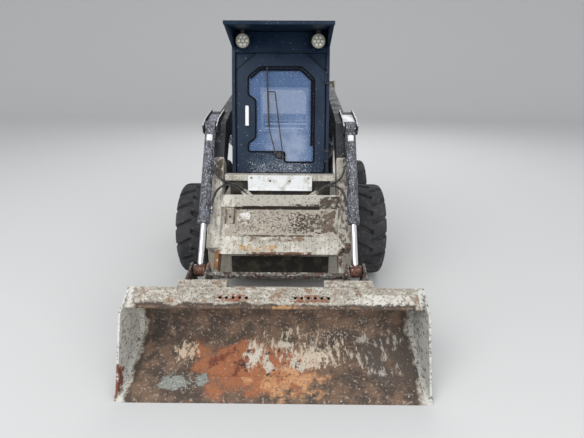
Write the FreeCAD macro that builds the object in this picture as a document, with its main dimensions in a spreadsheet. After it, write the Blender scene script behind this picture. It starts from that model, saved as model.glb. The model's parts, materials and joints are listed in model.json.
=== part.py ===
import FreeCAD, Part
import math
import os
import Sketcher
from FreeCAD import Placement, Rotation, Vector

# A radial-lift skid steer loader, parked with its arms down and its bucket tipped onto its cutting edge.
# Millimetres, +Z up, the machine faces -Y, +X is the left of a driver who looks ahead.
# The origin is on the ground, half-way along the machine, on its centre line.

# Driving sizes: alias, value. Lengths in millimetres, angles in degrees.
SIZES = (
    ("front_axle", -13), ("wheelbase", 987), ("tyre_radius", 385), ("tyre_width", 264), ("tyre_gap", 43),
    ("lug_depth", 24), ("lug_width", 46), ("rim_radius", 210), ("rim_width", 210), ("rim_plate", 14),
    ("hub_radius", 74), ("hub_bore", 36), ("axle_inset", 15), ("running_gap", 0.05),
    ("frame_half", 540), ("case_width", 175), ("frame_bottom", 200), ("frame_top", 600),
    ("frame_front", 560), ("frame_rear", 1517), ("belly_plate", 12), ("bumper_depth", 149),
    ("bay_rim", 20), ("bay_plate", 12), ("bay_rise", 580), ("engine_half", 260), ("engine_rise", 790),
    ("post_width", 140), ("post_rise", 500), ("bumper_bottom", 300), ("bumper_height", 110),
    ("pivot_inset", 247), ("pivot_rise", 870), ("pivot_pin", 30), ("pivot_boss", 85),
    ("tower_plate", 12), ("tower_outer", 508), ("tower_front", 270), ("tower_rear", 230),
    ("lift_base_inset", 317), ("lift_base_rise", 160), ("lift_eye_back", 170), ("lift_eye_height", 1170),
    ("lift_barrel", 42), ("lift_rod", 25), ("lift_rod_shown", 205), ("lift_eye", 40), ("lift_pin", 20),
    ("arm_inner", 410), ("arm_width", 85), ("arm_wall", 30),
    ("tilt_plane", 508), ("tilt_top_front", 320), ("tilt_top_height", 1300), ("lean", 37.5),
    ("tilt_reach", 1061), ("tilt_barrel", 38), ("tilt_rod", 19), ("tilt_rod_shown", 322),
    ("tilt_eye", 40), ("tilt_pin", 16), ("bracket_gap", 44), ("bracket_plate", 10),
    ("leg_offset", 60), ("leg_depth", 150), ("leg_top", 215), ("leg_box_end", 895),
    ("coupler_along", 1147), ("coupler_pin", 22), ("coupler_boss", 58),
    ("ear_gap", 48), ("ear_plate", 12), ("rod_pin_height", 160), ("coupler_plate_front", 235),
    ("beam_depth", 60), ("beam_top", 508), ("beam_lip", 90), ("beam_foot", 126),
    ("beam_end", 937), ("beam_recess", 28),
    ("dump", 20), ("bucket_half", 860), ("bucket_back", 270), ("bucket_floor", 520), ("bucket_height", 350),
    ("bucket_drop", 40), ("bucket_wall", 10), ("bucket_brim", 130), ("edge_depth", 150), ("edge_thick", 16),
    ("cab_half", 355), ("cab_wall", 25), ("cab_front", 407), ("cab_back", 820), ("cab_base", 600),
    ("cab_knee", 940), ("cab_lean", 15.4), ("roof_height", 1990), ("roof_plate", 25), ("visor_front", 488),
    ("roof_fall", 45), ("sill_half", 400), ("sill_height", 43), ("cheek_drop", 121),
    ("door_half", 322), ("door_thick", 26), ("door_base", 38), ("header", 153), ("door_chamfer", 130),
    ("window_half", 237), ("window_base", 190), ("window_drop", 94), ("side_window_base", 530),
    ("side_window_drop", 165), ("glass", 6),
    ("rear_window_half", 220), ("rear_window_base", 510), ("rear_window_drop", 453),
    ("lamp_side", 267), ("lamp_radius", 51), ("lamp_drop", 107), ("lamp_front", 227), ("lamp_depth", 50),
    ("hose", 8), ("port", 11), ("port_offset", 9), ("port_length", 28),
    ("upper_port", 285), ("lower_port", 640),
)

doc = FreeCAD.newDocument("SkidSteerLoader")
sheet = doc.addObject("Spreadsheet::Sheet", "Sizes")
for row, (alias, amount) in enumerate(SIZES, start=1):
    sheet.set("A%d" % row, alias)
    sheet.set("B%d" % row, str(amount))
    sheet.setAlias("B%d" % row, alias)
doc.recompute()


class Size:
    """A number with the sheet expression that gives it, so that both stay together."""

    def __init__(self, value, text):
        self.value = float(value)
        self.text = text

    def join(self, sign, other, value):
        return Size(value, "(%s %s %s)" % (self.text, sign, text_of(other)))

    def __add__(self, other):
        return self.join("+", other, self.value + number(other))

    def __sub__(self, other):
        return self.join("-", other, self.value - number(other))

    def __mul__(self, other):
        return self.join("*", other, self.value * number(other))

    def __truediv__(self, other):
        return self.join("/", other, self.value / number(other))

    def __radd__(self, other):
        return Size(other, text_of(other)) + self

    def __rsub__(self, other):
        return Size(other, text_of(other)) - self

    def __rmul__(self, other):
        return Size(other, text_of(other)) * self

    def __rtruediv__(self, other):
        return Size(other, text_of(other)) / self

    def __neg__(self):
        return self * -1


def number(size):
    """The plain number of a size or of a number."""
    return size.value if isinstance(size, Size) else float(size)


def text_of(size):
    """The sheet expression of a size or of a number."""
    return size.text if isinstance(size, Size) else "(%r)" % float(size)


def cosine(angle):
    """The cosine of a size in degrees."""
    return Size(math.cos(math.radians(angle.value)), "cos(%s)" % angle.text)


def sine(angle):
    """The sine of a size in degrees."""
    return Size(math.sin(math.radians(angle.value)), "sin(%s)" % angle.text)


class Sheet:
    """Reads a driving size by its alias."""

    def __getattr__(self, alias):
        return Size(sheet.get(alias), "Sizes." + alias)


s = Sheet()
NODES = []


def node(item):
    """Marks an object as a piece of the machine, which its label names."""
    NODES.append(item)
    return item


def bind(item, name, size):
    """Gives a property its value, and its expression where the size comes from the sheet."""
    if isinstance(size, Size):
        item.setExpression(name, size.text)
    else:
        setattr(item, name, size)


def place(item, base, axis=(1, 0, 0), angle=0.0):
    """Puts an object at a point, turned about an axis."""
    turn = Rotation(Vector(*axis), number(angle))
    item.Placement = Placement(Vector(*[number(value) for value in base]), turn)
    for letter, value in zip("xyz", base):
        if isinstance(value, Size):
            item.setExpression("Placement.Base." + letter, value.text)
    if isinstance(angle, Size):
        item.setExpression("Placement.Rotation.Angle", angle.text)
    return item


def sketch_on(body, plane, offset, outlines, circles=()):
    """A sketch of closed outlines and circles on a body's own plane, with every point bound."""
    sketch = body.newObject("Sketcher::SketchObject", body.Name + "_sketch")
    support = next(part for part in body.Origin.OriginFeatures if part.Role == plane + "_Plane")
    sketch.AttachmentSupport = (support, [""])
    sketch.MapMode = "FlatFace"
    # The XZ plane looks along -Y.
    along = -1 if plane == "XZ" else 1
    sketch.AttachmentOffset = Placement(Vector(0, 0, number(offset) * along), Rotation())
    if isinstance(offset, Size):
        sketch.setExpression("AttachmentOffset.Base.z", (offset * along).text)
    rules, texts = [], []

    def pin(kind, index, point, size):
        rules.append(Sketcher.Constraint(kind, -1, 1, index, point, number(size)))
        texts.append((len(rules) - 1, size))

    index = 0
    for outline in outlines:
        points = [Vector(number(across), number(up), 0) for across, up in outline]
        sketch.addGeometry([Part.LineSegment(a, b) for a, b in zip(points, points[1:] + points[:1])], False)
        for step, (across, up) in enumerate(outline):
            following = index + (step + 1) % len(outline)
            rules.append(Sketcher.Constraint("Coincident", index + step, 2, following, 1))
            pin("DistanceX", index + step, 1, across)
            pin("DistanceY", index + step, 1, up)
        index += len(outline)
    for across, up, radius in circles:
        centre = Vector(number(across), number(up), 0)
        sketch.addGeometry([Part.Circle(centre, Vector(0, 0, 1), number(radius))], False)
        pin("DistanceX", index, 3, across)
        pin("DistanceY", index, 3, up)
        rules.append(Sketcher.Constraint("Radius", index, number(radius)))
        texts.append((len(rules) - 1, radius))
        index += 1
    sketch.addConstraint(rules)
    for place_in_list, size in texts:
        if isinstance(size, Size):
            sketch.setExpression("Constraints[%d]" % place_in_list, size.text)
    return sketch


def pad(body, plane, start, depth, outlines, circles=()):
    """Pads outlines from start towards plus along the plane's normal."""
    feature = body.newObject("PartDesign::Pad", body.Name + "_pad")
    feature.Profile = sketch_on(body, plane, start, outlines, circles)
    feature.Reversed = plane == "XZ"
    bind(feature, "Length", depth)
    return feature


def pocket(body, plane, start, depth, outlines, circles=()):
    """Cuts outlines out of the body, from start towards plus along the plane's normal."""
    doc.recompute()
    before = body.Shape.Volume
    feature = body.newObject("PartDesign::Pocket", body.Name + "_pocket")
    feature.Profile = sketch_on(body, plane, start, outlines, circles)
    feature.Reversed = plane != "XZ"
    bind(feature, "Length", depth)
    doc.recompute()
    if not body.Shape.Volume < before - 1:
        raise RuntimeError("%s: the pocket cuts nothing" % body.Label)
    return feature


def new_body(label):
    """An empty body with its label."""
    body = doc.addObject("PartDesign::Body", label)
    body.Label = label
    return body


def round_corners(body, plane, radius, corners):
    """Fillets the edges that run along the plane's normal through the corners."""
    doc.recompute()
    normal = "XYZ".index({"YZ": "X", "XZ": "Y", "XY": "Z"}[plane])
    wanted = [tuple(number(value) for value in corner) for corner in corners]
    names, solid = [], body.Tip
    for index, edge in enumerate(solid.Shape.Edges, start=1):
        if len(edge.Vertexes) != 2:
            continue
        ends = [[vertex.Point[axis] for axis in range(3) if axis != normal] for vertex in edge.Vertexes]
        for corner in wanted:
            if all(math.dist(end, corner) < 0.01 for end in ends):
                names.append("Edge%d" % index)
    if not names:
        raise RuntimeError("%s: no corner to round" % body.Label)
    feature = body.newObject("PartDesign::Fillet", body.Name + "_round")
    feature.Base = (solid, names)
    bind(feature, "Radius", radius)
    return feature


def plate(label, plane, start, depth, outlines, circles=(), rounds=()):
    """A body of one pad, with rounded corners given as (radius, corners)."""
    body = new_body(label)
    pad(body, plane, start, depth, outlines, circles)
    for radius, corners in rounds:
        round_corners(body, plane, radius, corners)
    return body


def rectangle(low, high):
    """The outline of a rectangle between two corners."""
    (left, bottom), (right, top) = low, high
    return [(left, bottom), (right, bottom), (right, top), (left, top)]


def round_bar(label, radius, length, base, axis=(0, 0, 1), angle=0.0):
    """A round bar that rises from its base, then turned about an axis."""
    item = doc.addObject("Part::Cylinder", label)
    item.Label = label
    bind(item, "Radius", radius)
    bind(item, "Height", length)
    return place(item, base, axis, angle)


def rod_x(label, radius, start, length, along, up):
    """A round bar across the machine."""
    return round_bar(label, radius, length, (start, along, up), (0, 1, 0), 90.0)


def bar_along(label, radius, start, length, across, up):
    """A round bar that runs back from a start."""
    return round_bar(label, radius, length, (across, start, up), (-1, 0, 0), 90.0)


def upright_bar(label, radius, foot, bottom, height):
    """A round bar that stands upright over a foot."""
    return round_bar(label, radius, height, (foot[0], foot[1], bottom))


def down_bar(label, radius, across, start, length):
    """A round bar that runs down from a start, in a leg's or a cylinder's own frame."""
    return round_bar(label, radius, length, (across, 0.0, -(start + length)))


def fuse(label, items):
    """Items joined into one."""
    item = doc.addObject("Part::MultiFuse", label)
    item.Shapes = items
    item.Label = label
    return item


def cut(label, base, tools):
    """A base less its tools."""
    item = doc.addObject("Part::Cut", label)
    item.Base = base
    item.Tool = tools[0] if len(tools) == 1 else fuse(label + "_tools", tools)
    item.Label = label
    return item


def mirrored(label, item):
    """The item's mirror image on the machine's other side."""
    other = doc.addObject("Part::Mirroring", label)
    other.Source = item
    other.Normal = Vector(1, 0, 0)
    other.Label = label
    return other


def group(label, items):
    """One piece of several solids that don't touch."""
    item = doc.addObject("Part::Compound", label)
    item.Links = items
    item.Label = label
    return item


def both_sides(label, item):
    """One piece of two solids: the given one and its mirror image."""
    return group(label, [item, mirrored(label + "_other", item)])


# Places that several pieces share. In the leg's own frame -Z runs down the leg and +Y is behind it.
front_axle = s.front_axle
rear_axle = s.front_axle + s.wheelbase
tilt_top = (s.front_axle - s.tilt_top_front, s.tilt_top_height)
leg_middle = s.leg_offset + s.leg_depth / 2
lean_sine, lean_cosine = sine(s.lean), cosine(s.lean)
coupler_pivot = (tilt_top[0] + leg_middle * lean_cosine - s.coupler_along * lean_sine,
                 tilt_top[1] - leg_middle * lean_sine - s.coupler_along * lean_cosine)
frame_inner, track_half = s.frame_half - s.case_width, s.frame_half + s.tyre_gap + s.tyre_width / 2
bay_half, post_inner = frame_inner + s.bay_rim, s.frame_half - s.post_width
bay_rear = s.front_axle + s.frame_rear
pivot = (bay_rear - s.pivot_inset, s.frame_top + s.pivot_rise)
lift_base = (bay_rear - s.lift_base_inset, s.frame_top + s.lift_base_rise)
lift_eye = (s.front_axle + s.lift_eye_back, s.lift_eye_height)
cab_foot = (s.front_axle - s.cab_front, s.cab_knee)
arm_middle = s.arm_inner + s.arm_width / 2


def in_leg_frame(item):
    """An item of a leg's own frame, put into the machine."""
    return place(item, (0.0, tilt_top[0], tilt_top[1]), axis=(-1, 0, 0), angle=s.lean)


def from_leg(along, behind):
    """A point of the machine's side view, from its distance down the leg and behind the tilt cylinder."""
    return (tilt_top[0] + behind * lean_cosine - along * lean_sine,
            tilt_top[1] - behind * lean_sine - along * lean_cosine)


def in_coupler_frame(item):
    """An item of the coupler's own frame, put into the machine."""
    return place(item, (0.0, coupler_pivot[0], coupler_pivot[1]), axis=(1, 0, 0), angle=s.dump)


def in_cab_front_frame(item):
    """An item of the leaning cab front's own frame, put into the machine."""
    return place(item, (0.0, cab_foot[0], cab_foot[1]), axis=(-1, 0, 0), angle=s.cab_lean)


def block(label, low, high):
    """A plain box between two corners."""
    item = doc.addObject("Part::Box", label)
    item.Label = label
    for name, start, end in zip(("Length", "Width", "Height"), low, high):
        bind(item, name, end - start)
    return place(item, low)


# The lower frame: two chain cases and the belly between them.
frame = new_body("main_frame")
frame_start = front_axle - s.frame_front
pad(frame, "XZ", frame_start, s.frame_front + s.frame_rear, [[
    (-s.frame_half, s.frame_bottom), (s.frame_half, s.frame_bottom), (s.frame_half, s.frame_top),
    (frame_inner, s.frame_top), (frame_inner, s.frame_bottom + s.belly_plate),
    (-frame_inner, s.frame_bottom + s.belly_plate), (-frame_inner, s.frame_top),
    (-s.frame_half, s.frame_top)]])
node(frame)

panel_top = s.cab_knee - 5
panel_half = s.cab_half + 10
node(plate("front_panel", "YZ", -panel_half, panel_half * 2, [[
    (frame_start, s.frame_bottom + s.belly_plate), (frame_start, s.frame_top + 20),
    (front_axle - 462, panel_top - 55), (front_axle - 462, panel_top), (front_axle - 450, panel_top),
    (front_axle - 450, panel_top - 58), (frame_start + 12, s.frame_top + 17),
    (frame_start + 12, s.frame_bottom + s.belly_plate)]]))

sill_front = front_axle - 482
sill_top = panel_top + s.sill_height
node(plate("front_sill", "YZ", -s.sill_half, s.sill_half * 2, [
    rectangle((sill_front, panel_top), (front_axle - 422, sill_top))]))
node(plate("sill_plate", "YZ", -232.0, 464.0, [[
    (sill_front, panel_top - 62), (sill_front, sill_top), (sill_front - 8, sill_top),
    (sill_front - 8, panel_top - 58), (sill_front - 22, panel_top - 62), (sill_front - 22, panel_top - 68),
    (sill_front - 6, panel_top - 68)]]))

# The rear towers that carry the arms and the lift cylinders.
tower = new_body("tower")
tower_front, tower_rear = pivot[0] - s.tower_front, pivot[0] + s.tower_rear
tower_crown = pivot[1] + s.pivot_boss + 20
pad(tower, "YZ", bay_half, s.tower_outer + s.tower_plate - bay_half, [[
    (tower_front, s.frame_top), (tower_rear, s.frame_top), (tower_rear - 60, pivot[1] - 70),
    (tower_rear - 130, tower_crown), (pivot[0] - 100, tower_crown), (pivot[0] - 150, pivot[1] - 90),
    (tower_front + 20, lift_base[1] + 120)]])
round_corners(tower, "YZ", 60.0, [(tower_rear - 130, tower_crown), (pivot[0] - 100, tower_crown)])
pocket(tower, "YZ", bay_half + s.tower_plate, s.tower_outer - bay_half - s.tower_plate, [[
    (tower_front - 50, s.frame_top - 10), (tower_rear - 12, s.frame_top - 10),
    (tower_rear - 72, pivot[1] - 72),
    (tower_rear - 150, tower_crown + 20), (tower_front - 50, tower_crown + 20)]])
gap_start = bay_half + s.tower_plate
gap_width = s.tower_outer - gap_start
tower_side = fuse("tower_side", [
    tower,
    rod_x("arm_pin", s.pivot_pin, gap_start, gap_width, pivot[0], pivot[1]),
    rod_x("lift_base_pin", s.lift_pin, gap_start, gap_width, lift_base[0], lift_base[1])])
node(both_sides("towers", tower_side))

# The engine bay, the rear posts and the swinging tailgate.
bay_front, bay_top = front_axle + s.cab_back + 12, s.frame_top + s.bay_rise
rear_reach = bay_rear + s.bumper_depth
bay_side = plate("bay_side", "YZ", bay_half - s.bay_plate, s.bay_plate, [
    rectangle((bay_front, s.frame_top), (bay_rear, bay_top))])
node(both_sides("bay_sides", bay_side))
slot_pitch = 70
slot_half, slot_start, slot_width = 260.0, bay_front + 130, 35
grille = [rectangle((-slot_half, slot_start + index * slot_pitch),
                    (slot_half, slot_start + slot_width + index * slot_pitch))
          for index in range(7)]
node(plate("engine_cover", "XY", bay_top, 20.0, [
    rectangle((-bay_half, bay_front), (bay_half, bay_rear + 40)), *grille]))
bumper_top, post_top = s.bumper_bottom + s.bumper_height, s.frame_top + s.post_rise
bumper = plate("bumper", "XZ", bay_rear, rear_reach - bay_rear, [[
    (-s.frame_half, s.bumper_bottom), (s.frame_half, s.bumper_bottom), (s.frame_half, post_top),
    (post_inner, post_top), (post_inner, bumper_top), (-post_inner, bumper_top),
    (-post_inner, post_top), (-s.frame_half, post_top)]],
    [(s.frame_half - 70, s.bumper_bottom + 55, 20.0), (-s.frame_half + 70, s.bumper_bottom + 55, 20.0)],
    [(50.0, [(-s.frame_half, post_top), (s.frame_half, post_top)])])
gate_axis = (post_inner - 16, rear_reach - 10)
gate_half = post_inner - 28
gate_low, gate_high = bumper_top + 10, bay_top - 12
knuckle, knuckle_pin, knuckle_length = 9.0, 5.0, 60.0


gate_knuckles, gate_pins = [], []
for index, height in enumerate((gate_low + 120, gate_high - 180)):
    gate_pins.append(upright_bar("gate_pin_%d" % index, knuckle_pin, gate_axis, height - 12, 84.0))
    for end, start in enumerate((height - 14, height + knuckle_length + 2)):
        gate_pins.append(block("gate_tab_%d_%d" % (index, end), (gate_axis[0] - 6, gate_axis[1] - 8, start),
                               (post_inner + 4, gate_axis[1] + 8, start + 12)))
    leaf = fuse("gate_leaf_%d" % index, [
        upright_bar("gate_knuckle_%d" % index, knuckle, gate_axis, height, knuckle_length),
        block("gate_strap_%d" % index, (gate_half - 30, gate_axis[1], height),
              (gate_axis[0], gate_axis[1] + 8, height + knuckle_length))])
    gate_knuckles.append(cut("gate_bored_%d" % index, leaf, [
        upright_bar("gate_bore_%d" % index, knuckle_pin + 0.05, gate_axis, height - 1, knuckle_length + 2)]))
node(fuse("rear_bumper", [bumper, *gate_pins]))
louvres = [rectangle((-250.0, gate_low + 330 + index * 52), (250.0, gate_low + 352 + index * 52))
           for index in range(7)]
gate = plate("gate", "XZ", gate_axis[1] - 50, 50.0, [
    rectangle((-gate_half, gate_low), (gate_half, gate_high)), *louvres],
    rounds=[(20.0, [(-gate_half, gate_low), (gate_half, gate_low),
                    (-gate_half, gate_high), (gate_half, gate_high)])])
node(fuse("tailgate", [gate, *gate_knuckles]))
engine_low = s.frame_bottom + s.belly_plate
node(block("engine_block", (-s.engine_half, bay_front + 68, engine_low),
           (s.engine_half, bay_rear - 77, engine_low + s.engine_rise)))

# The cab, split where its real panels meet. Its front leans back.
tilt_per_height = sine(s.cab_lean) / cosine(s.cab_lean)
roof_low = s.roof_height - s.roof_plate
visor_tip = front_axle - s.visor_front
cab_rear = front_axle + s.cab_back
cheek_height = roof_low - s.cheek_drop


def front_line(height):
    """Where the cab's leaning front is at a height."""
    return cab_foot[0] + (height - s.cab_knee) * tilt_per_height


def roof_under(along):
    """The height of the roof's underside, which falls towards the rear."""
    return roof_low - s.roof_fall * (along - visor_tip) / (s.cab_back + s.visor_front)


window_low, window_high = s.cab_base + s.side_window_base, roof_low - s.side_window_drop
side_window = [(front_line(window_low) + 110, window_low), (cab_rear - 200, window_low),
               (cab_rear - 200, window_high), (front_line(window_high) + 110, window_high)]
side_wall = plate("cab_side", "YZ", s.cab_half - s.cab_wall, s.cab_wall, [
    [(front_axle - 440, s.cab_base), (front_line(s.cab_knee), s.cab_knee),
     (front_line(cheek_height), cheek_height),
     (visor_tip, roof_low), (cab_rear, roof_low - s.roof_fall), (cab_rear, s.cab_base)], side_window])
node(both_sides("cab_sides", side_wall))
side_pane = plate("side_pane", "YZ", s.cab_half - s.cab_wall / 2, s.glass, [side_window])
node(both_sides("side_glass", side_pane))
node(plate("cab_roof", "YZ", -s.cab_half - 4, s.cab_half * 2 + 8, [[
    (visor_tip, roof_low), (cab_rear, roof_low - s.roof_fall), (cab_rear, s.roof_height - s.roof_fall),
    (visor_tip, s.roof_height)]]))
cab_inside = s.cab_half - s.cab_wall
rear_window = rectangle((-s.rear_window_half, s.cab_base + s.rear_window_base),
                        (s.rear_window_half, roof_low - s.rear_window_drop))
node(plate("cab_back", "XZ", cab_rear - s.cab_wall, s.cab_wall, [
    rectangle((-cab_inside, s.cab_base), (cab_inside, roof_low - s.roof_fall - 0.5)), rear_window]))
node(plate("rear_glass", "XZ", cab_rear - s.cab_wall / 2, s.glass, [rear_window]))
node(block("cab_floor", (-frame_inner, front_axle - 442, s.cab_base - 12),
           (frame_inner, cab_rear, s.cab_base)))

# The door's frame is in the leaning frame of the cab's front, where Y is behind the door's outer face.
ring_start = s.door_thick + 0.5
header_top = (roof_low - s.cab_knee) / cosine(s.cab_lean) - 16
door_top = header_top - s.header
ring = new_body("door_ring")
pad(ring, "XZ", ring_start, 30.0, [
    rectangle((-cab_inside, 0.0), (cab_inside, header_top)),
    [(-285.0, 75.0), (285.0, 75.0), (285.0, door_top - 149), (165.0, door_top - 44), (-165.0, door_top - 44),
     (-285.0, door_top - 149)]])
pad(ring, "XZ", 0.0, ring_start, [rectangle((-cab_inside, door_top + 6), (cab_inside, header_top))])
node(in_cab_front_frame(ring))
ring.Label = "cab_front"

window_low, window_high = s.window_base, door_top - s.window_drop


def up_pane(share):
    """The height at a share of the window's own height."""
    return window_low + (window_high - window_low) * share


pane = [(-s.window_half, window_low), (31.0, window_low), (31.0, window_low - 75),
        (s.window_half + 9, window_low - 75), (s.window_half + 9, up_pane(0.86)), (154.0, window_high),
        (-152.0, window_high), (-s.window_half, up_pane(0.885)), (-s.window_half, up_pane(0.672)),
        (-182.0, up_pane(0.615)), (-182.0, up_pane(0.164)), (-s.window_half, up_pane(0.107))]
leaf_outline = [(-s.door_half, s.door_base), (s.door_half, s.door_base),
                (s.door_half, door_top - s.door_chamfer),
                (s.door_half - 147, door_top), (147 - s.door_half, door_top),
                (-s.door_half, door_top - s.door_chamfer)]
leaf = plate("door_leaf", "XZ", 0.0, s.door_thick, [leaf_outline, pane], rounds=[
    (45.0, [(-s.door_half, s.door_base), (s.door_half, s.door_base)])])
door_axis = (s.door_half + 5, -8.0)
door_straps, door_pins = [], []
for index, height in enumerate((s.door_base + 92, door_top - 204)):
    door_pins.append(upright_bar("door_pin_%d" % index, 4.0, door_axis, height - 12, 84.0))
    for end, start in enumerate((height - 14, height + knuckle_length + 2)):
        door_pins.append(block("door_tab_%d_%d" % (index, end), (door_axis[0] - 4, -14.0, start),
                               (s.cab_half - 5, 0.0, start + 12)))
    strap = fuse("door_strap_%d" % index, [
        upright_bar("door_knuckle_%d" % index, 7.0, door_axis, height, knuckle_length),
        block("door_flap_%d" % index, (s.door_half - 26, -6.0, height),
              (door_axis[0], 0.0, height + knuckle_length))])
    door_straps.append(cut("door_bored_%d" % index, strap, [
        upright_bar("door_bore_%d" % index, 4.05, door_axis, height - 1, knuckle_length + 2)]))
node(in_cab_front_frame(fuse("door_panel", [leaf, *door_straps])))
node(in_cab_front_frame(fuse("door_hinges", door_pins)))
node(in_cab_front_frame(plate("door_glass", "XZ", 10.0, s.glass, [pane])))
node(in_cab_front_frame(plate("door_handle", "XZ", -24.0, 24.0, [
    rectangle((-256.0, up_pane(0.303)), (-230.0, up_pane(0.541)))],
    rounds=[(10.0, [(-256.0, up_pane(0.303)), (-230.0, up_pane(0.541))])])))

# Inside the cab: the seat on its box, the lap bar and the two levers.
seat_front = front_axle + 250
seat_top = s.cab_base + 180
node(block("seat_base", (-240.0, seat_front, s.cab_base), (240.0, seat_front + 500, seat_top)))
node(block("seat_cushion", (-230.0, seat_front + 10, seat_top + 0.3),
           (230.0, seat_front + 400, seat_top + 100)))
node(block("seat_backrest", (-225.0, seat_front + 401, seat_top + 0.3),
           (225.0, seat_front + 490, seat_top + 350)))
lever = fuse("lever", [
    upright_bar("lever_rod", 11.0, (205.0, front_axle - 110), s.cab_base, 420.0),
    upright_bar("lever_grip", 21.0, (205.0, front_axle - 110), s.cab_base + 330, 110.0)])
node(both_sides("levers", lever))
bar_front, bar_height = front_axle + 60, s.cab_base + 500
bar_arm = block("bar_arm", (cab_inside - 40, bar_front - 14, bar_height - 14),
                (cab_inside - 12, bar_front + 430, bar_height + 14))
bar_stub = rod_x("bar_stub", 14.0, cab_inside - 30, 30.0, bar_front + 416, bar_height)
bar_side = fuse("bar_side", [bar_arm, bar_stub])
node(fuse("lap_bar", [bar_side, mirrored("bar_side_other", bar_side),
                      rod_x("bar_cross", 14.0, 12 - cab_inside, (cab_inside - 12) * 2,
                            bar_front, bar_height)]))


lamp_start, lamp_height = front_axle - s.lamp_front, s.roof_height - s.lamp_drop
lamp = fuse("lamp", [
    bar_along("lamp_shell", s.lamp_radius, lamp_start, s.lamp_depth, s.lamp_side, lamp_height),
    block("lamp_bracket", (s.lamp_side - 14, lamp_start + 18, lamp_height + 40),
          (s.lamp_side + 14, lamp_start + 30, roof_under(lamp_start + 30) - 0.2))])
node(both_sides("work_lamps", lamp))

# Axles and wheels.
stub_length = track_half - s.axle_inset - s.frame_half
stubs = []
for name, along in (("front", front_axle), ("rear", rear_axle)):
    stubs.append(rod_x(name + "_stub", s.hub_bore, s.frame_half, stub_length, along, s.tyre_radius))
stubs += [mirrored(stub.Name + "_other", stub) for stub in list(stubs)]
node(group("axles", stubs))


def tyre_shape():
    """A carcass turned about X, with bars that alternate from side to side."""
    radius, half, bore = s.tyre_radius.value, s.tyre_width.value / 2, s.rim_radius.value + 0.3
    tread, flange = radius - s.lug_depth.value, s.rim_radius.value + 12.3
    # Half a section, from the bead out to the tread: across the tyre, out from the axle.
    section = ((half - 35.6, bore), (half - 35.6, flange), (half - 22, flange), (half - 4, flange + 62),
               (half - 30, tread))
    profile = [Vector(across, 0, out) for across, out in section]
    profile += [Vector(-across, 0, out) for across, out in reversed(section)]
    carcass = Part.Face(Part.makePolygon(profile + profile[:1])).revolve(Vector(), Vector(1, 0, 0), 360)
    # A bar's outline: across the tread, along it.
    wide = s.lug_width.value / 2
    bar = ((-8, -wide), (half - 30, wide), (half, wide * 1.6), (half, wide * 3), (half - 40, wide * 3),
           (-8, wide))
    count = 16
    skin = Part.makeCylinder(radius, half * 2, Vector(-half, 0, 0), Vector(1, 0, 0))
    bars = []
    for side in (1, -1):
        corners = [Vector(across * side, along, tread - 38) for across, along in bar]
        foot = Part.Face(Part.makePolygon(corners + corners[:1]))
        form = foot.extrude(Vector(0, 0, s.lug_depth.value + 50)).common(skin)
        for index in range(count):
            copy = form.copy()
            copy.rotate(Vector(), Vector(1, 0, 0), 360 / count * (index + 0.5 * (side < 0)) - 90)
            bars.append(copy)
    return carcass.multiFuse(bars).removeSplitter()


def rim(label, out):
    """A rim band with a dished disc, bolted to the hub. Out is 1 or -1, the side that shows."""
    body = new_body(label)
    half, inner, lip, disc = s.rim_width / 2, s.rim_radius - 8, s.rim_radius + 12, 30 * out
    bore, dish = s.hub_bore + s.running_gap, s.hub_radius + 40
    # The section, from the hidden flange by the disc to the flange that shows: along X, out from the axle.
    section = ((-half * out, inner), (disc, inner), (disc, dish), (disc - 60 * out, s.hub_radius),
               (disc - 60 * out, bore), (disc + 20 * out, bore), (disc + s.rim_plate * out, dish),
               (disc + s.rim_plate * out, inner), (half * out, inner), (half * out, lip),
               ((half - 8) * out, lip), ((half - 8) * out, s.rim_radius), ((8 - half) * out, s.rim_radius),
               ((8 - half) * out, lip), (-half * out, lip))
    turned = body.newObject("PartDesign::Revolution", label + "_turned")
    turned.Profile = sketch_on(body, "XY", 0.0, [list(section)])
    turned.ReferenceAxis = (turned.Profile[0], ["H_Axis"])
    turned.Angle = 360.0
    return body


tyre_form = tyre_shape()
tyre_mirror = tyre_form.mirror(Vector(), Vector(1, 0, 0))
for name, out, along in (("front_left", 1, front_axle), ("front_right", -1, front_axle),
                         ("rear_left", 1, rear_axle), ("rear_right", -1, rear_axle)):
    tyre = doc.addObject("Part::Feature", name + "_tyre")
    tyre.Label = name + "_tyre"
    tyre.Shape = tyre_form if out > 0 else tyre_mirror
    node(place(tyre, (track_half * out, along, s.tyre_radius)))
    node(place(rim(name + "_rim", out), (track_half * out, along, s.tyre_radius)))

# The lift arms: black beams that run back to the towers, and pale legs that come down in front.
lug_low = lift_eye[1] - 46
beam = new_body("arm_beam")
beam_front = from_leg(0, s.leg_offset)
beam_end, beam_back = from_leg(s.leg_top, s.leg_offset), from_leg(s.leg_top, s.leg_offset + s.leg_depth)
crown = (front_axle, 1368.0)
brow = (front_axle - 245, 1318.0)
pad(beam, "YZ", s.arm_inner, s.arm_width, [[
    (pivot[0] + s.pivot_boss, pivot[1] + s.pivot_boss), crown, brow, beam_front, beam_end, beam_back,
    (front_axle - 130, 1158.0), (front_axle - 40, 1212.0),
    (pivot[0] + s.pivot_boss, pivot[1] - s.pivot_boss)]],
    [(pivot[0], pivot[1], s.pivot_pin + s.running_gap)])
round_corners(beam, "YZ", 80.0, [(pivot[0] + s.pivot_boss, pivot[1] + s.pivot_boss),
                                 (pivot[0] + s.pivot_boss, pivot[1] - s.pivot_boss)])
lug_ears = []
for index, across in enumerate((s.arm_inner, s.arm_inner + s.arm_width - 12)):
    ear = plate("lift_ear_%d" % index, "YZ", across, 12.0, [[
        (lift_eye[0] - 95, 1222.0), (lift_eye[0] - 48, lug_low), (lift_eye[0] + 48, lug_low),
        (lift_eye[0] + 95, 1245.0), (lift_eye[0], 1260.0)]],
        rounds=[(35.0, [(lift_eye[0] - 48, lug_low), (lift_eye[0] + 48, lug_low)])])
    lug_ears.append(ear)
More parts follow.
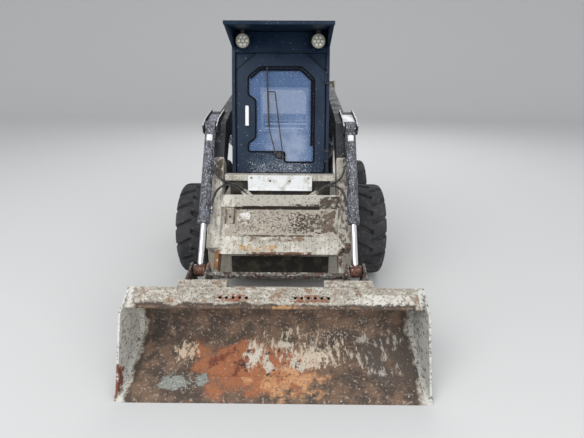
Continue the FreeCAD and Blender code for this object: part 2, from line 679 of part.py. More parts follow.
lug_heads = [rod_x("lift_head_outer", 27.0, s.arm_inner + s.arm_width, 8.0, lift_eye[0], lift_eye[1]),
             rod_x("lift_head_inner", 27.0, s.arm_inner - 8, 8.0, lift_eye[0], lift_eye[1])]
node(both_sides("arm_beams", fuse("arm_beam_side", [beam, *lug_ears, *lug_heads])))

leg = new_body("arm_leg")
front, back = s.leg_offset, s.leg_offset + s.leg_depth
pad(leg, "YZ", s.arm_inner, s.arm_width, [rectangle((front, -s.leg_box_end), (back, -s.leg_top))])
pad(leg, "YZ", s.arm_inner, s.arm_wall, [[
    (front + 28, -s.leg_box_end), (back, -s.leg_box_end), (leg_middle + 62, -s.coupler_along + 60),
    (leg_middle + s.coupler_boss, -s.coupler_along - s.coupler_boss),
    (leg_middle - s.coupler_boss, -s.coupler_along - s.coupler_boss),
    (leg_middle - 55, -s.coupler_along + 60)]],
    [(leg_middle, -s.coupler_along, s.coupler_pin + s.running_gap)])
round_corners(leg, "YZ", 50.0, [
    (leg_middle + s.coupler_boss, -s.coupler_along - s.coupler_boss),
    (leg_middle - s.coupler_boss, -s.coupler_along - s.coupler_boss)])
node(both_sides("arm_legs", in_leg_frame(leg)))

cross = new_body("cross_beam")
pad(cross, "YZ", -s.arm_inner, s.arm_inner * 2, [[
    (front, -s.beam_top), (front + s.beam_depth, -s.beam_top), (front + s.beam_depth, -s.beam_end),
    (front, -s.beam_end), (front, s.beam_foot - s.beam_end),
    (front + s.beam_recess, s.beam_foot - s.beam_end),
    (front + s.beam_recess, -s.beam_top - s.beam_lip), (front, -s.beam_top - s.beam_lip)]])

# The hoses of the tilt cylinders: side, name, then points, each the distance out from the centre, down the
# leg and behind the cylinder.
HOSES = (
    (-1, "right_upper", ((461, 285, 0), (460, 342, 3), (430, 400, 26), (362, 420, 58), (296, 424, 86),
                         (240, 468, 100))),
    (-1, "right_lower", ((461, 640, 0), (459, 580, -3), (444, 516, 0), (410, 462, 16), (358, 440, 38),
                         (300, 452, 62), (256, 496, 76))),
    (1, "left_upper", ((461, 285, 0), (459, 340, 2), (432, 402, 26), (366, 426, 58), (300, 438, 84),
                       (246, 478, 98))),
    (1, "left_lower", ((461, 640, 0), (460, 580, -2), (450, 518, -2), (416, 466, 8), (358, 442, 32),
                       (300, 454, 56), (258, 500, 68))),
)
# The radius of an adapter, and the gap between a port and its hose.
ADAPTER = 12.0
PORT_GAP = 0.6


def hose_points(side, route):
    """A route's points in the leg's own frame, on one side of the machine."""
    return [Vector(side * across, behind, -along) for across, along, behind in route]


def hose_shape(name, points, radius):
    """A round hose along straight runs joined by tangent arcs, in the leg's frame."""
    turns = []
    for before, corner, after in zip(points, points[1:], points[2:]):
        back, ahead = before - corner, after - corner
        half_turn = (math.pi - back.getAngle(ahead)) / 2
        reach = 0.45 * min(back.Length, ahead.Length)
        back.normalize()
        ahead.normalize()
        middle = back + ahead
        middle.normalize()
        bend = reach / math.tan(half_turn)
        crest = corner + middle * (bend / math.cos(half_turn) - bend)
        turns.append((corner + back * reach, crest, corner + ahead * reach, bend))
    edges, start = [], points[0]
    for first, crest, last, bend in turns:
        edges += [Part.makeLine(start, first), Part.Arc(first, crest, last).toShape()]
        start = last
    edges.append(Part.makeLine(start, points[-1]))
    path = Part.Wire(edges)
    ring = Part.Wire(Part.makeCircle(radius, points[0], points[1] - points[0]))
    shape = path.makePipeShell([ring], True, True)
    print(name, "length %.1f" % path.Length, "radii", ["%.0f" % turn[3] for turn in turns],
          "volume ratio %.4f" % (shape.Volume / (math.pi * radius * radius * path.Length)))
    return shape


# Each hose meets an adapter that leans out of the crossmember's top.
adapters = []
for side, name, route in HOSES:
    points = hose_points(side, route)
    hose = doc.addObject("Part::Feature", name + "_hose")
    hose.Label = name + "_hose"
    hose.Shape = hose_shape(name + "_hose", points, s.hose.value)
    node(in_leg_frame(hose))
    end, lean = points[-1], points[-1] - points[-2]
    lean.normalize()
    turn = Rotation(Vector(0, 0, 1), lean)
    length = (s.beam_top.value + ADAPTER + end.z) / -lean.z
    adapters.append(place(round_bar(name + "_adapter", ADAPTER, length, (0, 0, 0)), end, turn.Axis,
                          math.degrees(turn.Angle)))
node(in_leg_frame(fuse("arm_crossmember", [cross, *adapters])))

# The brackets at the knees, which carry the tilt cylinders' upper pins.
plate_outline = [crown, (crown[0], crown[1] + 24), (brow[0] - 30, brow[1] + 34),
                 (tilt_top[0] - 50, tilt_top[1] + 12), (tilt_top[0] - 40, tilt_top[1] - 38),
                 (tilt_top[0] + 10, tilt_top[1] - 58), beam_front, brow]
inner_plate = s.tilt_plane - s.bracket_gap - s.bracket_plate
bridge = plate("knee_bridge", "YZ", s.tilt_plane - s.bracket_gap, s.bracket_gap * 2, [[
    (crown[0] - 12, crown[1] - 2), (crown[0] - 12, crown[1] + 8),
    (brow[0] - 8, brow[1] + 8), (brow[0] - 8, brow[1])]])
knee = fuse("knee", [
    plate("knee_inner", "YZ", inner_plate, s.bracket_plate, [plate_outline]),
    plate("knee_outer", "YZ", s.tilt_plane + s.bracket_gap, s.bracket_plate, [plate_outline]),
    bridge,
    rod_x("knee_pin", s.tilt_pin, inner_plate, (s.bracket_gap + s.bracket_plate) * 2,
          tilt_top[0], tilt_top[1])])
node(both_sides("knee_brackets", cut("knee_trimmed", knee, [beam])))


def cylinder(label, side, centre, barrel, rod, pin, eyes, reach, shown, plug, ports=()):
    """A barrel with its eye at the origin and a rod down to its own eye. Ports are (start, length)."""
    middle = centre * side
    eye_half = eyes[1]
    barrel_length = reach - shown - eyes[0] * 0.6
    tube = fuse(label + "_tube", [
        rod_x(label + "_eye", eyes[0], middle - eye_half, eye_half * 2, 0.0, 0.0),
        down_bar(label + "_body", barrel, middle, eyes[0] * 0.6, barrel_length),
        down_bar(label + "_gland", barrel + 4, middle, eyes[0] * 0.6 + barrel_length - 45, 45.0),
        *[down_bar("%s_port_%d" % (label, index), s.port, (centre - barrel - s.port_offset) * side,
                   start, length)
          for index, (start, length) in enumerate(ports)]])
    bored = cut(label + "_barrel", tube, [
        rod_x(label + "_pin_hole", pin + s.running_gap, middle - eye_half - 1, eye_half * 2 + 2, 0.0, 0.0),
        down_bar(label + "_bore", rod + s.running_gap, middle, eyes[0] + 20, barrel_length + 60)])
    shaft = fuse(label + "_rod", [
        down_bar(label + "_shaft", rod, middle, plug, reach - plug),
        rod_x(label + "_rod_eye", eyes[0], middle - eyes[2], eyes[2] * 2, 0.0, -reach)])
    return bored, shaft


for name, side in (("left", 1), ("right", -1)):
    barrel, shaft = cylinder(name + "_tilt", side, s.tilt_plane, s.tilt_barrel, s.tilt_rod, s.tilt_pin,
                             (s.tilt_eye, 36, 36), s.tilt_reach, s.tilt_rod_shown, 420,
                             [(s.upper_port - s.port_length - PORT_GAP, s.port_length),
                              (s.lower_port + PORT_GAP, s.port_length)])
    node(in_leg_frame(barrel))
    node(in_leg_frame(shaft))

lift_back, lift_rise = lift_base[0] - lift_eye[0], lift_eye[1] - lift_base[1]
lift_reach = Size(math.hypot(lift_back.value, lift_rise.value),
                  "sqrt(%s^2 + %s^2)" % (lift_back.text, lift_rise.text))
lift_angle = Size(90 + math.degrees(math.atan2(lift_rise.value, lift_back.value)),
                  "90 deg + atan2(%s; %s)" % (lift_rise.text, lift_back.text))
for name, side in (("left", 1), ("right", -1)):
    barrel, shaft = cylinder(name + "_lift", side, arm_middle, s.lift_barrel, s.lift_rod, s.lift_pin,
                             (s.lift_eye, 40, 25), lift_reach, s.lift_rod_shown, 100)
    for item in (barrel, shaft):
        node(place(item, (0.0, lift_base[0], lift_base[1]), axis=(-1, 0, 0), angle=lift_angle))

# The quick coupler, in its own frame: the pivot at the origin, the bucket's floor level, -Y ahead.
ear_outline = [(-s.coupler_plate_front, -70.0), (20.0, -62.0), (62.0, -10.0), (50.0, 120.0), (44.0, 190.0),
               (10.0, 208.0), (-60.0, 215.0), (-s.coupler_plate_front, 248.0)]
inner_ear = s.tilt_plane - s.ear_gap - s.ear_plate
ears = [plate("ear_inner", "YZ", inner_ear, s.ear_plate, [ear_outline]),
        plate("ear_outer", "YZ", s.tilt_plane + s.ear_gap, s.ear_plate, [ear_outline]),
        rod_x("coupler_pin", s.coupler_pin, s.arm_inner - 8,
              s.tilt_plane + s.ear_gap + s.ear_plate + 16 - s.arm_inner, 0.0, 0.0),
        rod_x("rod_pin_head", 26.0, s.tilt_plane + s.ear_gap + s.ear_plate, 8.0, 0.0, s.rod_pin_height)]
ear_side = fuse("ear_side", ears)
coupler_half = s.tilt_plane + s.ear_gap + s.ear_plate + 2
frame_plate = plate("coupler_plate", "XZ", -s.coupler_plate_front - 12, 12.0, [
    rectangle((-coupler_half, -70.0), (coupler_half, 255.0)), rectangle((-330.0, 0.0), (330.0, 190.0))])
top_bar = plate("coupler_bar", "YZ", -inner_ear, inner_ear * 2, [rectangle((-75.0, 165.0), (-45.0, 195.0))])
coupler = fuse("coupler", [frame_plate, top_bar, ear_side, mirrored("ear_side_other", ear_side)])
node(in_coupler_frame(coupler))

# The bucket, in the coupler's frame.
heel, lip = -s.bucket_back, -s.bucket_back - s.bucket_floor
floor_low, brim_top = -s.bucket_drop, s.bucket_height - s.bucket_drop
brim_front = heel - s.bucket_brim
edge_back = lip + s.edge_depth
wall = s.bucket_wall
side_plate = 12
wrapper_half = s.bucket_half - side_plate
wrapper = plate("wrapper", "YZ", -wrapper_half, wrapper_half * 2, [[
    (edge_back, floor_low), (heel, floor_low), (heel, brim_top), (brim_front, brim_top - 25),
    (brim_front, brim_top - 25 - wall), (heel - wall, brim_top - wall), (heel - wall, floor_low + wall),
    (edge_back, floor_low + wall)]], rounds=[
    (110.0, [(heel, floor_low)]), (100.0, [(heel - wall, floor_low + wall)])])
bucket_side = plate("bucket_side", "YZ", wrapper_half, float(side_plate), [[
    (lip + 25, floor_low + s.edge_thick), (edge_back, floor_low + s.edge_thick), (edge_back, floor_low),
    (heel, floor_low), (heel, brim_top), (brim_front - 56, brim_top - 9)]],
    rounds=[(110.0, [(heel, floor_low)]), (18.0, [(brim_front - 56, brim_top - 9)])])
back_plate = plate("bucket_back", "XZ", heel, s.bucket_back - s.coupler_plate_front - 12.3, [
    rectangle((-coupler_half, 75.0), (coupler_half, brim_top - 20))])
hook = plate("bucket_hook", "YZ", 285.0, coupler_half - 285, [[
    (heel, 256.0), (heel, brim_top + 14), (heel + 45, brim_top + 14), (heel + 78, 276.0),
    (heel + 78, 256.0)]])
# Two drilled strips lie on the sloping brim, near the middle.
strips, strip_holes = [], []
strip_fall = 25 / s.bucket_brim
hole_pitch = 38.0
for name, start, length in (("right", -344.0, 210.0), ("left", 86.0, 248.0)):
    strips.append(plate("strip_" + name, "YZ", start, length, [[
        (heel - 88, brim_top - strip_fall * 88 - 2), (heel - 52, brim_top - strip_fall * 52 - 2),
        (heel - 52, brim_top - strip_fall * 52 + 6), (heel - 88, brim_top - strip_fall * 88 + 6)]]))
    strip_holes += [upright_bar("strip_hole_%s_%d" % (name, index), 9.5,
                                (start + 29 + index * hole_pitch, heel - 70), brim_top - 40, 60.0)
                    for index in range(int(length / hole_pitch))]
bucket_side_other = mirrored("bucket_side_other", bucket_side)
shell = fuse("bucket_shell", [wrapper, bucket_side, bucket_side_other, back_plate, hook,
                              mirrored("bucket_hook_other", hook), *strips])
node(in_coupler_frame(cut("bucket", shell, strip_holes)))
node(in_coupler_frame(plate("cutting_edge", "YZ", -s.bucket_half - 6, s.bucket_half * 2 + 12, [[
    (lip, floor_low), (edge_back, floor_low), (edge_back, floor_low + s.edge_thick),
    (lip + 24, floor_low + s.edge_thick)]])))

doc.recompute()
for item in doc.Objects:
    if "Invalid" in item.State or "Error" in item.State:
        raise RuntimeError("%s failed: %s" % (item.Label, item.State))
os.makedirs("parts", exist_ok=True)
for item in NODES:
    shape = item.Shape
    if shape.isNull() or not shape.isValid() or not shape.Solids:
        raise RuntimeError("%s has no valid solid" % item.Label)
    shape.exportStep("parts/%s.step" % item.Label)
    bounds = shape.BoundBox
    print("%-18s %2d solids %8.0f cm3  %s" % (item.Label, len(shape.Solids), shape.Volume / 1000, [
        round(value) for value in (bounds.XMin, bounds.XMax, bounds.YMin, bounds.YMax,
                                   bounds.ZMin, bounds.ZMax)]))
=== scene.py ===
"""A skid steer loader that has worked hard: a dark blue cab, cream arms, black cylinders, a rusty bucket.

Metres, +Z up, the machine faces -Y and +X is its left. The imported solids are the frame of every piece.
"""
import json
import logging
import math
from dataclasses import dataclass, field
from enum import Enum
from typing import Sequence

import bmesh
import bpy
import numpy as np
from mathutils import Matrix, Vector


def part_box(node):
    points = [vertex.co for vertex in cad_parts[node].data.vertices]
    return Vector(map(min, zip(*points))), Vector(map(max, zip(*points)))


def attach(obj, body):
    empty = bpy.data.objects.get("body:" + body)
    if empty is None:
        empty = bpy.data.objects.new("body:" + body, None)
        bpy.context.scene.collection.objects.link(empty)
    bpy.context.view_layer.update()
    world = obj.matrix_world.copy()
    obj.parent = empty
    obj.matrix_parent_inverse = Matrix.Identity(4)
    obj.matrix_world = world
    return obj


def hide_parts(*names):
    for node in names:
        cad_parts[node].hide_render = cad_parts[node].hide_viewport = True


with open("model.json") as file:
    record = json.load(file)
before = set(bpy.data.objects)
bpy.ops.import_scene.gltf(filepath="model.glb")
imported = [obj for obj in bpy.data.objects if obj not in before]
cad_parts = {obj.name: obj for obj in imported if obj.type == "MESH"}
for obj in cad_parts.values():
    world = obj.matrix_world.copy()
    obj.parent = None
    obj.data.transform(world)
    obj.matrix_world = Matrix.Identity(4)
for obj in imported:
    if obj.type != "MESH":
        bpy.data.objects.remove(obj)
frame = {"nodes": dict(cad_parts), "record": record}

log = logging.getLogger("loader")
Array = np.ndarray
Colour = tuple[float, float, float]
Point = tuple[float, float, float]
Outline = tuple[tuple[float, float], ...]
Route = tuple[Point, ...]
# Points nearer than this are one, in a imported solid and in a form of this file, in metres.
SOLID_MERGE = 2e-5
FORM_MERGE = 1e-6
# Faces that turn less than this against each other are one flat face, in degrees.
FLAT = 0.8


class Side(Enum):
    """The machine's two sides, as the sign of X."""

    LEFT = 1
    RIGHT = -1


class Grain(Enum):
    """The patterns that a layer of wear can follow, as a noise's detail and roughness."""

    CLOUDS = (6.0, 0.62)
    SPOTS = (1.5, 0.5)


@dataclass(frozen=True)
class Region:
    """A soft ellipsoid or box that a layer of wear keeps to.

    Attributes:
        centre: The middle, in metres.
        reach: Half of the size along each axis, in metres.
        soft: The share of the reach over which the layer fades, from 0 to 1.
        turn: How far it is turned about X, in degrees.
        boxed: Whether it is a box.
    """

    centre: Point
    reach: Point
    soft: float = 0.5
    turn: float = 0.0
    boxed: bool = False


# The slope of the arm's front part from the upright, in degrees, and the knee's pin as (Y, Z).
ARM_SLOPE = 37.5
KNEE = (-0.333, 1.300)


def along_arm(down: Array | float, behind: Array | float) -> tuple[Array | float, Array | float]:
    """Y and Z of a place down the arm's front part from the knee and behind its line."""
    sine, cosine = math.sin(math.radians(ARM_SLOPE)), math.cos(math.radians(ARM_SLOPE))
    return KNEE[0] + behind * cosine - down * sine, KNEE[1] - behind * sine - down * cosine


def on_arm(across: float, down: float, half_across: float, half_down: float, soft: float = 0.5) -> Region:
    """A box on the face of the arm's front part.

    Args:
        across: Its middle's X.
        down: Its middle's way down the arm from the knee.
        half_across: Half of its width.
        half_down: Half of its height along the arm.
        soft: The share over which it fades.

    Returns:
        The region, leaning as the arm does.
    """
    behind, half_deep = 0.06, 0.25
    centre = (across, *along_arm(down, behind))
    return Region(centre, (half_across, half_deep, half_down), soft, -ARM_SLOPE, True)


@dataclass(frozen=True)
class Wear:
    """A layer over a finish, shown where a pattern passes a level.

    Attributes:
        colour: The layer's colour, linear.
        level: The pattern's level from which the layer shows; lower shows more.
        scale: The pattern's scale, in cycles per metre.
        soft: How slowly the layer fades in.
        stretch: The pattern's scale along each axis.
        seed: Moves the pattern, so that two layers differ.
        rough: The layer's roughness.
        grain: The kind of pattern.
        region: Where the layer may be, or None for all over.
        rise: The height of the layer over the coat below, for the bump; negative for chips.
    """

    colour: Colour
    level: float
    scale: float
    soft: float = 0.06
    stretch: Point = (1.0, 1.0, 1.0)
    seed: float = 0.0
    rough: float = 0.9
    grain: Grain = Grain.CLOUDS
    region: Region | None = None
    rise: float = 0.0


class Graph:
    """Builds one material's node tree."""

    def __init__(self, name: str) -> None:
        """Starts a material that holds only its shader and output."""
        self.material = bpy.data.materials.new(name)
        self.material.use_nodes = True
        self.tree = self.material.node_tree
        self.shader = next(node for node in self.tree.nodes if node.type == "BSDF_PRINCIPLED")
        self.place = self.add("ShaderNodeTexCoord").outputs["Object"]

    def add(self, kind: str, **settings: object) -> bpy.types.Node:
        """Adds a node and sets its properties."""
        node = self.tree.nodes.new(kind)
        for name, value in settings.items():
            setattr(node, name, value)
        return node

    def link(self, source: bpy.types.NodeSocket, target: bpy.types.NodeSocket) -> None:
        """Joins two sockets."""
        self.tree.links.new(source, target)

    def calculate(self, operation: str, *values: object) -> bpy.types.NodeSocket:
        """A Math node over sockets and numbers.

        Args:
            operation: The node's operation.
            values: Its inputs, each a socket or a number.

        Returns:
            The node's result.
        """
        node = self.add("ShaderNodeMath", operation=operation)
        for socket, value in zip(node.inputs, values):
            if isinstance(value, bpy.types.NodeSocket):
                self.link(value, socket)
            else:
                socket.default_value = value
        return node.outputs[0]

    def moved(self, offset: Point, scale: Point) -> bpy.types.NodeSocket:
        """The object's own coordinates, moved and then scaled."""
        node = self.add("ShaderNodeMapping", vector_type="POINT")
        node.inputs["Location"].default_value = offset
        node.inputs["Scale"].default_value = scale
        self.link(self.place, node.inputs["Vector"])
        return node.outputs[0]

    def pattern(self, wear: Wear) -> bpy.types.NodeSocket:
        """The layer's pattern, from 0 to 1, before its level is applied."""
        node = self.add("ShaderNodeTexNoise")
        node.inputs["Scale"].default_value = wear.scale
        node.inputs["Detail"].default_value, node.inputs["Roughness"].default_value = wear.grain.value
        offset = (wear.seed, wear.seed * 0.7, wear.seed * 1.3)
        self.link(self.moved(offset, wear.stretch), node.inputs["Vector"])
        return node.outputs[0]

    def step(self, value: bpy.types.NodeSocket, start: float, end: float) -> bpy.types.NodeSocket:
        """Rises smoothly from 0 at start to 1 at end."""
        node = self.add("ShaderNodeMapRange", interpolation_type="SMOOTHSTEP")
        self.link(value, node.inputs["Value"])
        node.inputs["From Min"].default_value = start
        node.inputs["From Max"].default_value = end
        return node.outputs[0]

    def away(self, region: Region) -> bpy.types.NodeSocket:
        """How far out of a region a point is: 0 at the region's middle and 1 on its edge."""
        inside = self.add("ShaderNodeMapping", vector_type="TEXTURE")
        inside.inputs["Location"].default_value = region.centre
        inside.inputs["Rotation"].default_value = (math.radians(region.turn), 0.0, 0.0)
        inside.inputs["Scale"].default_value = region.reach
        self.link(self.place, inside.inputs["Vector"])
        if not region.boxed:
            length = self.add("ShaderNodeVectorMath", operation="LENGTH")
            self.link(inside.outputs[0], length.inputs[0])
            return length.outputs["Value"]
        size = self.add("ShaderNodeVectorMath", operation="ABSOLUTE")
        self.link(inside.outputs[0], size.inputs[0])
        axes = self.add("ShaderNodeSeparateXYZ")
        self.link(size.outputs[0], axes.inputs[0])
        level = self.calculate("MAXIMUM", axes.outputs[0], axes.outputs[1])
        return self.calculate("MAXIMUM", level, axes.outputs[2])

    def mask(self, wear: Wear) -> bpy.types.NodeSocket:
        """Where the layer shows, from 0 to 1."""
        pattern = self.pattern(wear)
        if wear.region:
            fade = self.step(self.away(wear.region), 1.0 - wear.region.soft, 1.0)
            pattern = self.calculate("SUBTRACT", pattern, self.calculate("MULTIPLY", fade, 0.5))
        return self.step(pattern, wear.level - wear.soft, wear.level + wear.soft)

    def blend(self, factor: bpy.types.NodeSocket, below: object, above: object,
              kind: str) -> bpy.types.NodeSocket:
        """Mixes two colours or two numbers.

        Args:
            factor: 0 for the first, 1 for the second.
            below: The first, a socket or a value.
            above: The second, a socket or a value.
            kind: RGBA or FLOAT.

        Returns:
            The mix.
        """
        node = self.add("ShaderNodeMix", data_type=kind)
        used = {socket.name: socket for socket in node.inputs if socket.enabled}
        self.link(factor, used["Factor"])
        for socket, value in ((used["A"], below), (used["B"], above)):
            if isinstance(value, bpy.types.NodeSocket):
                self.link(value, socket)
            else:
                socket.default_value = (*value, 1.0) if kind == "RGBA" else value
        return next(socket for socket in node.outputs if socket.enabled)


@dataclass(frozen=True)
class Finish:
    """A surface: a base coat with layers of wear over it.

    Attributes:
        name: The material's name.
        slot: The record's material slot; not used.
        colour: The base coat's colour, linear.
        rough: The base coat's roughness.
        metallic: 1 for bare metal.
        coat: The strength of the clear coat.
        shine: The strength of the plain reflection, 0.5 for an ordinary paint.
        layers: The layers of wear, from the bottom up.
        dents: The depth of the surface's unevenness, in metres.
        dent_scale: Its scale, in cycles per metre.
    """

    name: str
    slot: str
    colour: Colour
    rough: float = 0.5
    metallic: float = 0.0
    coat: float = 0.0
    shine: float = 0.5
    layers: tuple[Wear, ...] = ()
    dents: float = 0.0
    dent_scale: float = 30.0

    def material(self) -> bpy.types.Material:
        """The finish as a material, made once."""
        made = bpy.data.materials.get(self.name + "_finish")
        if made:
            return made
        graph = Graph(self.name + "_finish")
        inputs = graph.shader.inputs
        inputs["Base Color"].default_value = (*self.colour, 1.0)
        inputs["Roughness"].default_value = self.rough
        inputs["Metallic"].default_value = self.metallic
        inputs["Coat Weight"].default_value = self.coat
        inputs["Specular IOR Level"].default_value = self.shine
        colour: object = self.colour
        rough: object = self.rough
        metal: object = self.metallic
        height: object = None
        if self.dents:
            uneven = graph.pattern(Wear(self.colour, 0.5, self.dent_scale, seed=3.1))
            height = graph.calculate("MULTIPLY", uneven, self.dents)
        for wear in self.layers:
            mask = graph.mask(wear)
            colour = graph.blend(mask, colour, wear.colour, "RGBA")
            rough = graph.blend(mask, rough, wear.rough, "FLOAT")
            if self.metallic:
                metal = graph.blend(mask, metal, 0.0, "FLOAT")
            if wear.rise:
                lift = graph.calculate("MULTIPLY", mask, wear.rise)
                height = lift if height is None else graph.calculate("ADD", height, lift)
        if self.layers:
            graph.link(colour, inputs["Base Color"])
            graph.link(rough, inputs["Roughness"])
        if self.layers and self.metallic:
            graph.link(metal, inputs["Metallic"])
        if height is not None:
            bump = graph.add("ShaderNodeBump")
            bump.inputs["Distance"].default_value = 1.0
            graph.link(height, bump.inputs["Height"])
            graph.link(bump.outputs[0], inputs["Normal"])
        return graph.material


@dataclass(frozen=True)
class Glass:
    """A tinted pane that shows what is behind it, with a film of dust on it.

    Attributes:
        name: The material's name.
        slot: The record's material slot; not used.
        tint: The colour of the light that passes.
        dust: The dust's colour.
        level: The pattern's level from which dust shows.
        clear: How much of the light the clean pane lets through.
    """

    name: str
    slot: str
    tint: Colour
    dust: Colour
    level: float = 0.36
    clear: float = 0.75

    def material(self) -> bpy.types.Material:
        """The pane as a material, made once."""
        made = bpy.data.materials.get(self.name)
        if made:
            return made
        graph = Graph(self.name)
        inputs = graph.shader.inputs
        inputs["Roughness"].default_value = 0.06
        film = graph.mask(Wear(self.dust, self.level, 6.0, soft=0.25, seed=5.0,
                               region=Region((0.08, -0.36, 1.10), (0.36, 0.4, 0.46), 0.9)))
        specks = graph.mask(Wear(self.dust, 0.70, 120.0, soft=0.03, seed=8.0, grain=Grain.SPOTS))
        dirty = graph.calculate("MAXIMUM", graph.calculate("MULTIPLY", film, 0.55), specks)
        graph.link(graph.blend(dirty, self.tint, self.dust, "RGBA"), inputs["Base Color"])
        graph.link(graph.blend(dirty, 1.0 - self.clear, 0.9, "FLOAT"), inputs["Alpha"])
        return graph.material


# Shared colours, linear.
NAVY: Colour = (0.0022, 0.0115, 0.030)
BLACK: Colour = (0.014, 0.014, 0.017)
CREAM: Colour = (0.62, 0.585, 0.51)
WHITE: Colour = (0.74, 0.75, 0.75)
SOOT: Colour = (0.035, 0.031, 0.027)
SOIL: Colour = (0.17, 0.125, 0.085)
RUST: Colour = (0.24, 0.075, 0.028)
DARK_RUST: Colour = (0.075, 0.028, 0.015)
STEEL: Colour = (0.33, 0.32, 0.30)


def splashes(colour: Colour, level: float, seed: float) -> Wear:
    """Fine drops of paint or mud."""
    return Wear(colour, level, 90.0, soft=0.025, seed=seed, rough=0.7, grain=Grain.SPOTS)


DOOR_FOOT = Region((0.0, -0.42, 0.975), (0.50, 0.25, 0.17), 0.7, boxed=True)
CAB_PAINT = Finish("cab_dark_blue", "cab_paint", NAVY, rough=0.34, coat=0.08, shine=0.22, dents=0.0012,
                   dent_scale=4.0, layers=(
    Wear((0.008, 0.022, 0.046), 0.50, 4.0, soft=0.16, seed=1.0, rough=0.5),
    Wear((0.05, 0.070, 0.10), 0.44, 7.0, soft=0.16, seed=12.0, rough=0.75,
         region=Region((0.0, -0.42, 0.98), (0.42, 0.3, 0.30), 0.8)),
    Wear((0.33, 0.35, 0.37), 0.60, 165.0, soft=0.04, seed=2.0, rough=0.8, grain=Grain.SPOTS,
         region=DOOR_FOOT),
    Wear((0.55, 0.57, 0.58), 0.66, 120.0, soft=0.03, seed=26.0, rough=0.8, grain=Grain.SPOTS,
         region=DOOR_FOOT),
    Wear((0.30, 0.33, 0.37), 0.66, 150.0, soft=0.03, seed=22.0, rough=0.8, grain=Grain.SPOTS,
         region=Region((0.0, -0.42, 1.05), (0.50, 0.3, 0.40), 0.8, boxed=True)),
    Wear((0.22, 0.24, 0.27), 0.73, 95.0, soft=0.02, seed=24.0, rough=0.8, grain=Grain.SPOTS),
))
BLACK_PAINT = Finish("black_paint", "black_paint", BLACK, rough=0.45, shine=0.35, dents=0.0008,
                     dent_scale=25.0, layers=(
    Wear((0.035, 0.036, 0.042), 0.50, 12.0, soft=0.12, seed=4.0, rough=0.7),
    splashes((0.40, 0.39, 0.37), 0.70, 6.0),
))
BARREL_PAINT = Finish("barrel_paint", "black_paint", (0.030, 0.031, 0.036), rough=0.45, dents=0.0006,
                      dent_scale=40.0, layers=(
    Wear((0.10, 0.105, 0.125), 0.50, 34.0, soft=0.08, seed=14.0, rough=0.6, stretch=(1.0, 0.6, 0.5)),
    Wear((0.42, 0.43, 0.46), 0.585, 120.0, soft=0.03, seed=16.0, rough=0.7, stretch=(1.0, 0.7, 0.55)),
    Wear((0.22, 0.12, 0.07), 0.50, 50.0, soft=0.06, seed=18.0,
         region=Region((0.0, -0.80, 0.71), (0.7, 0.05, 0.05))),
))
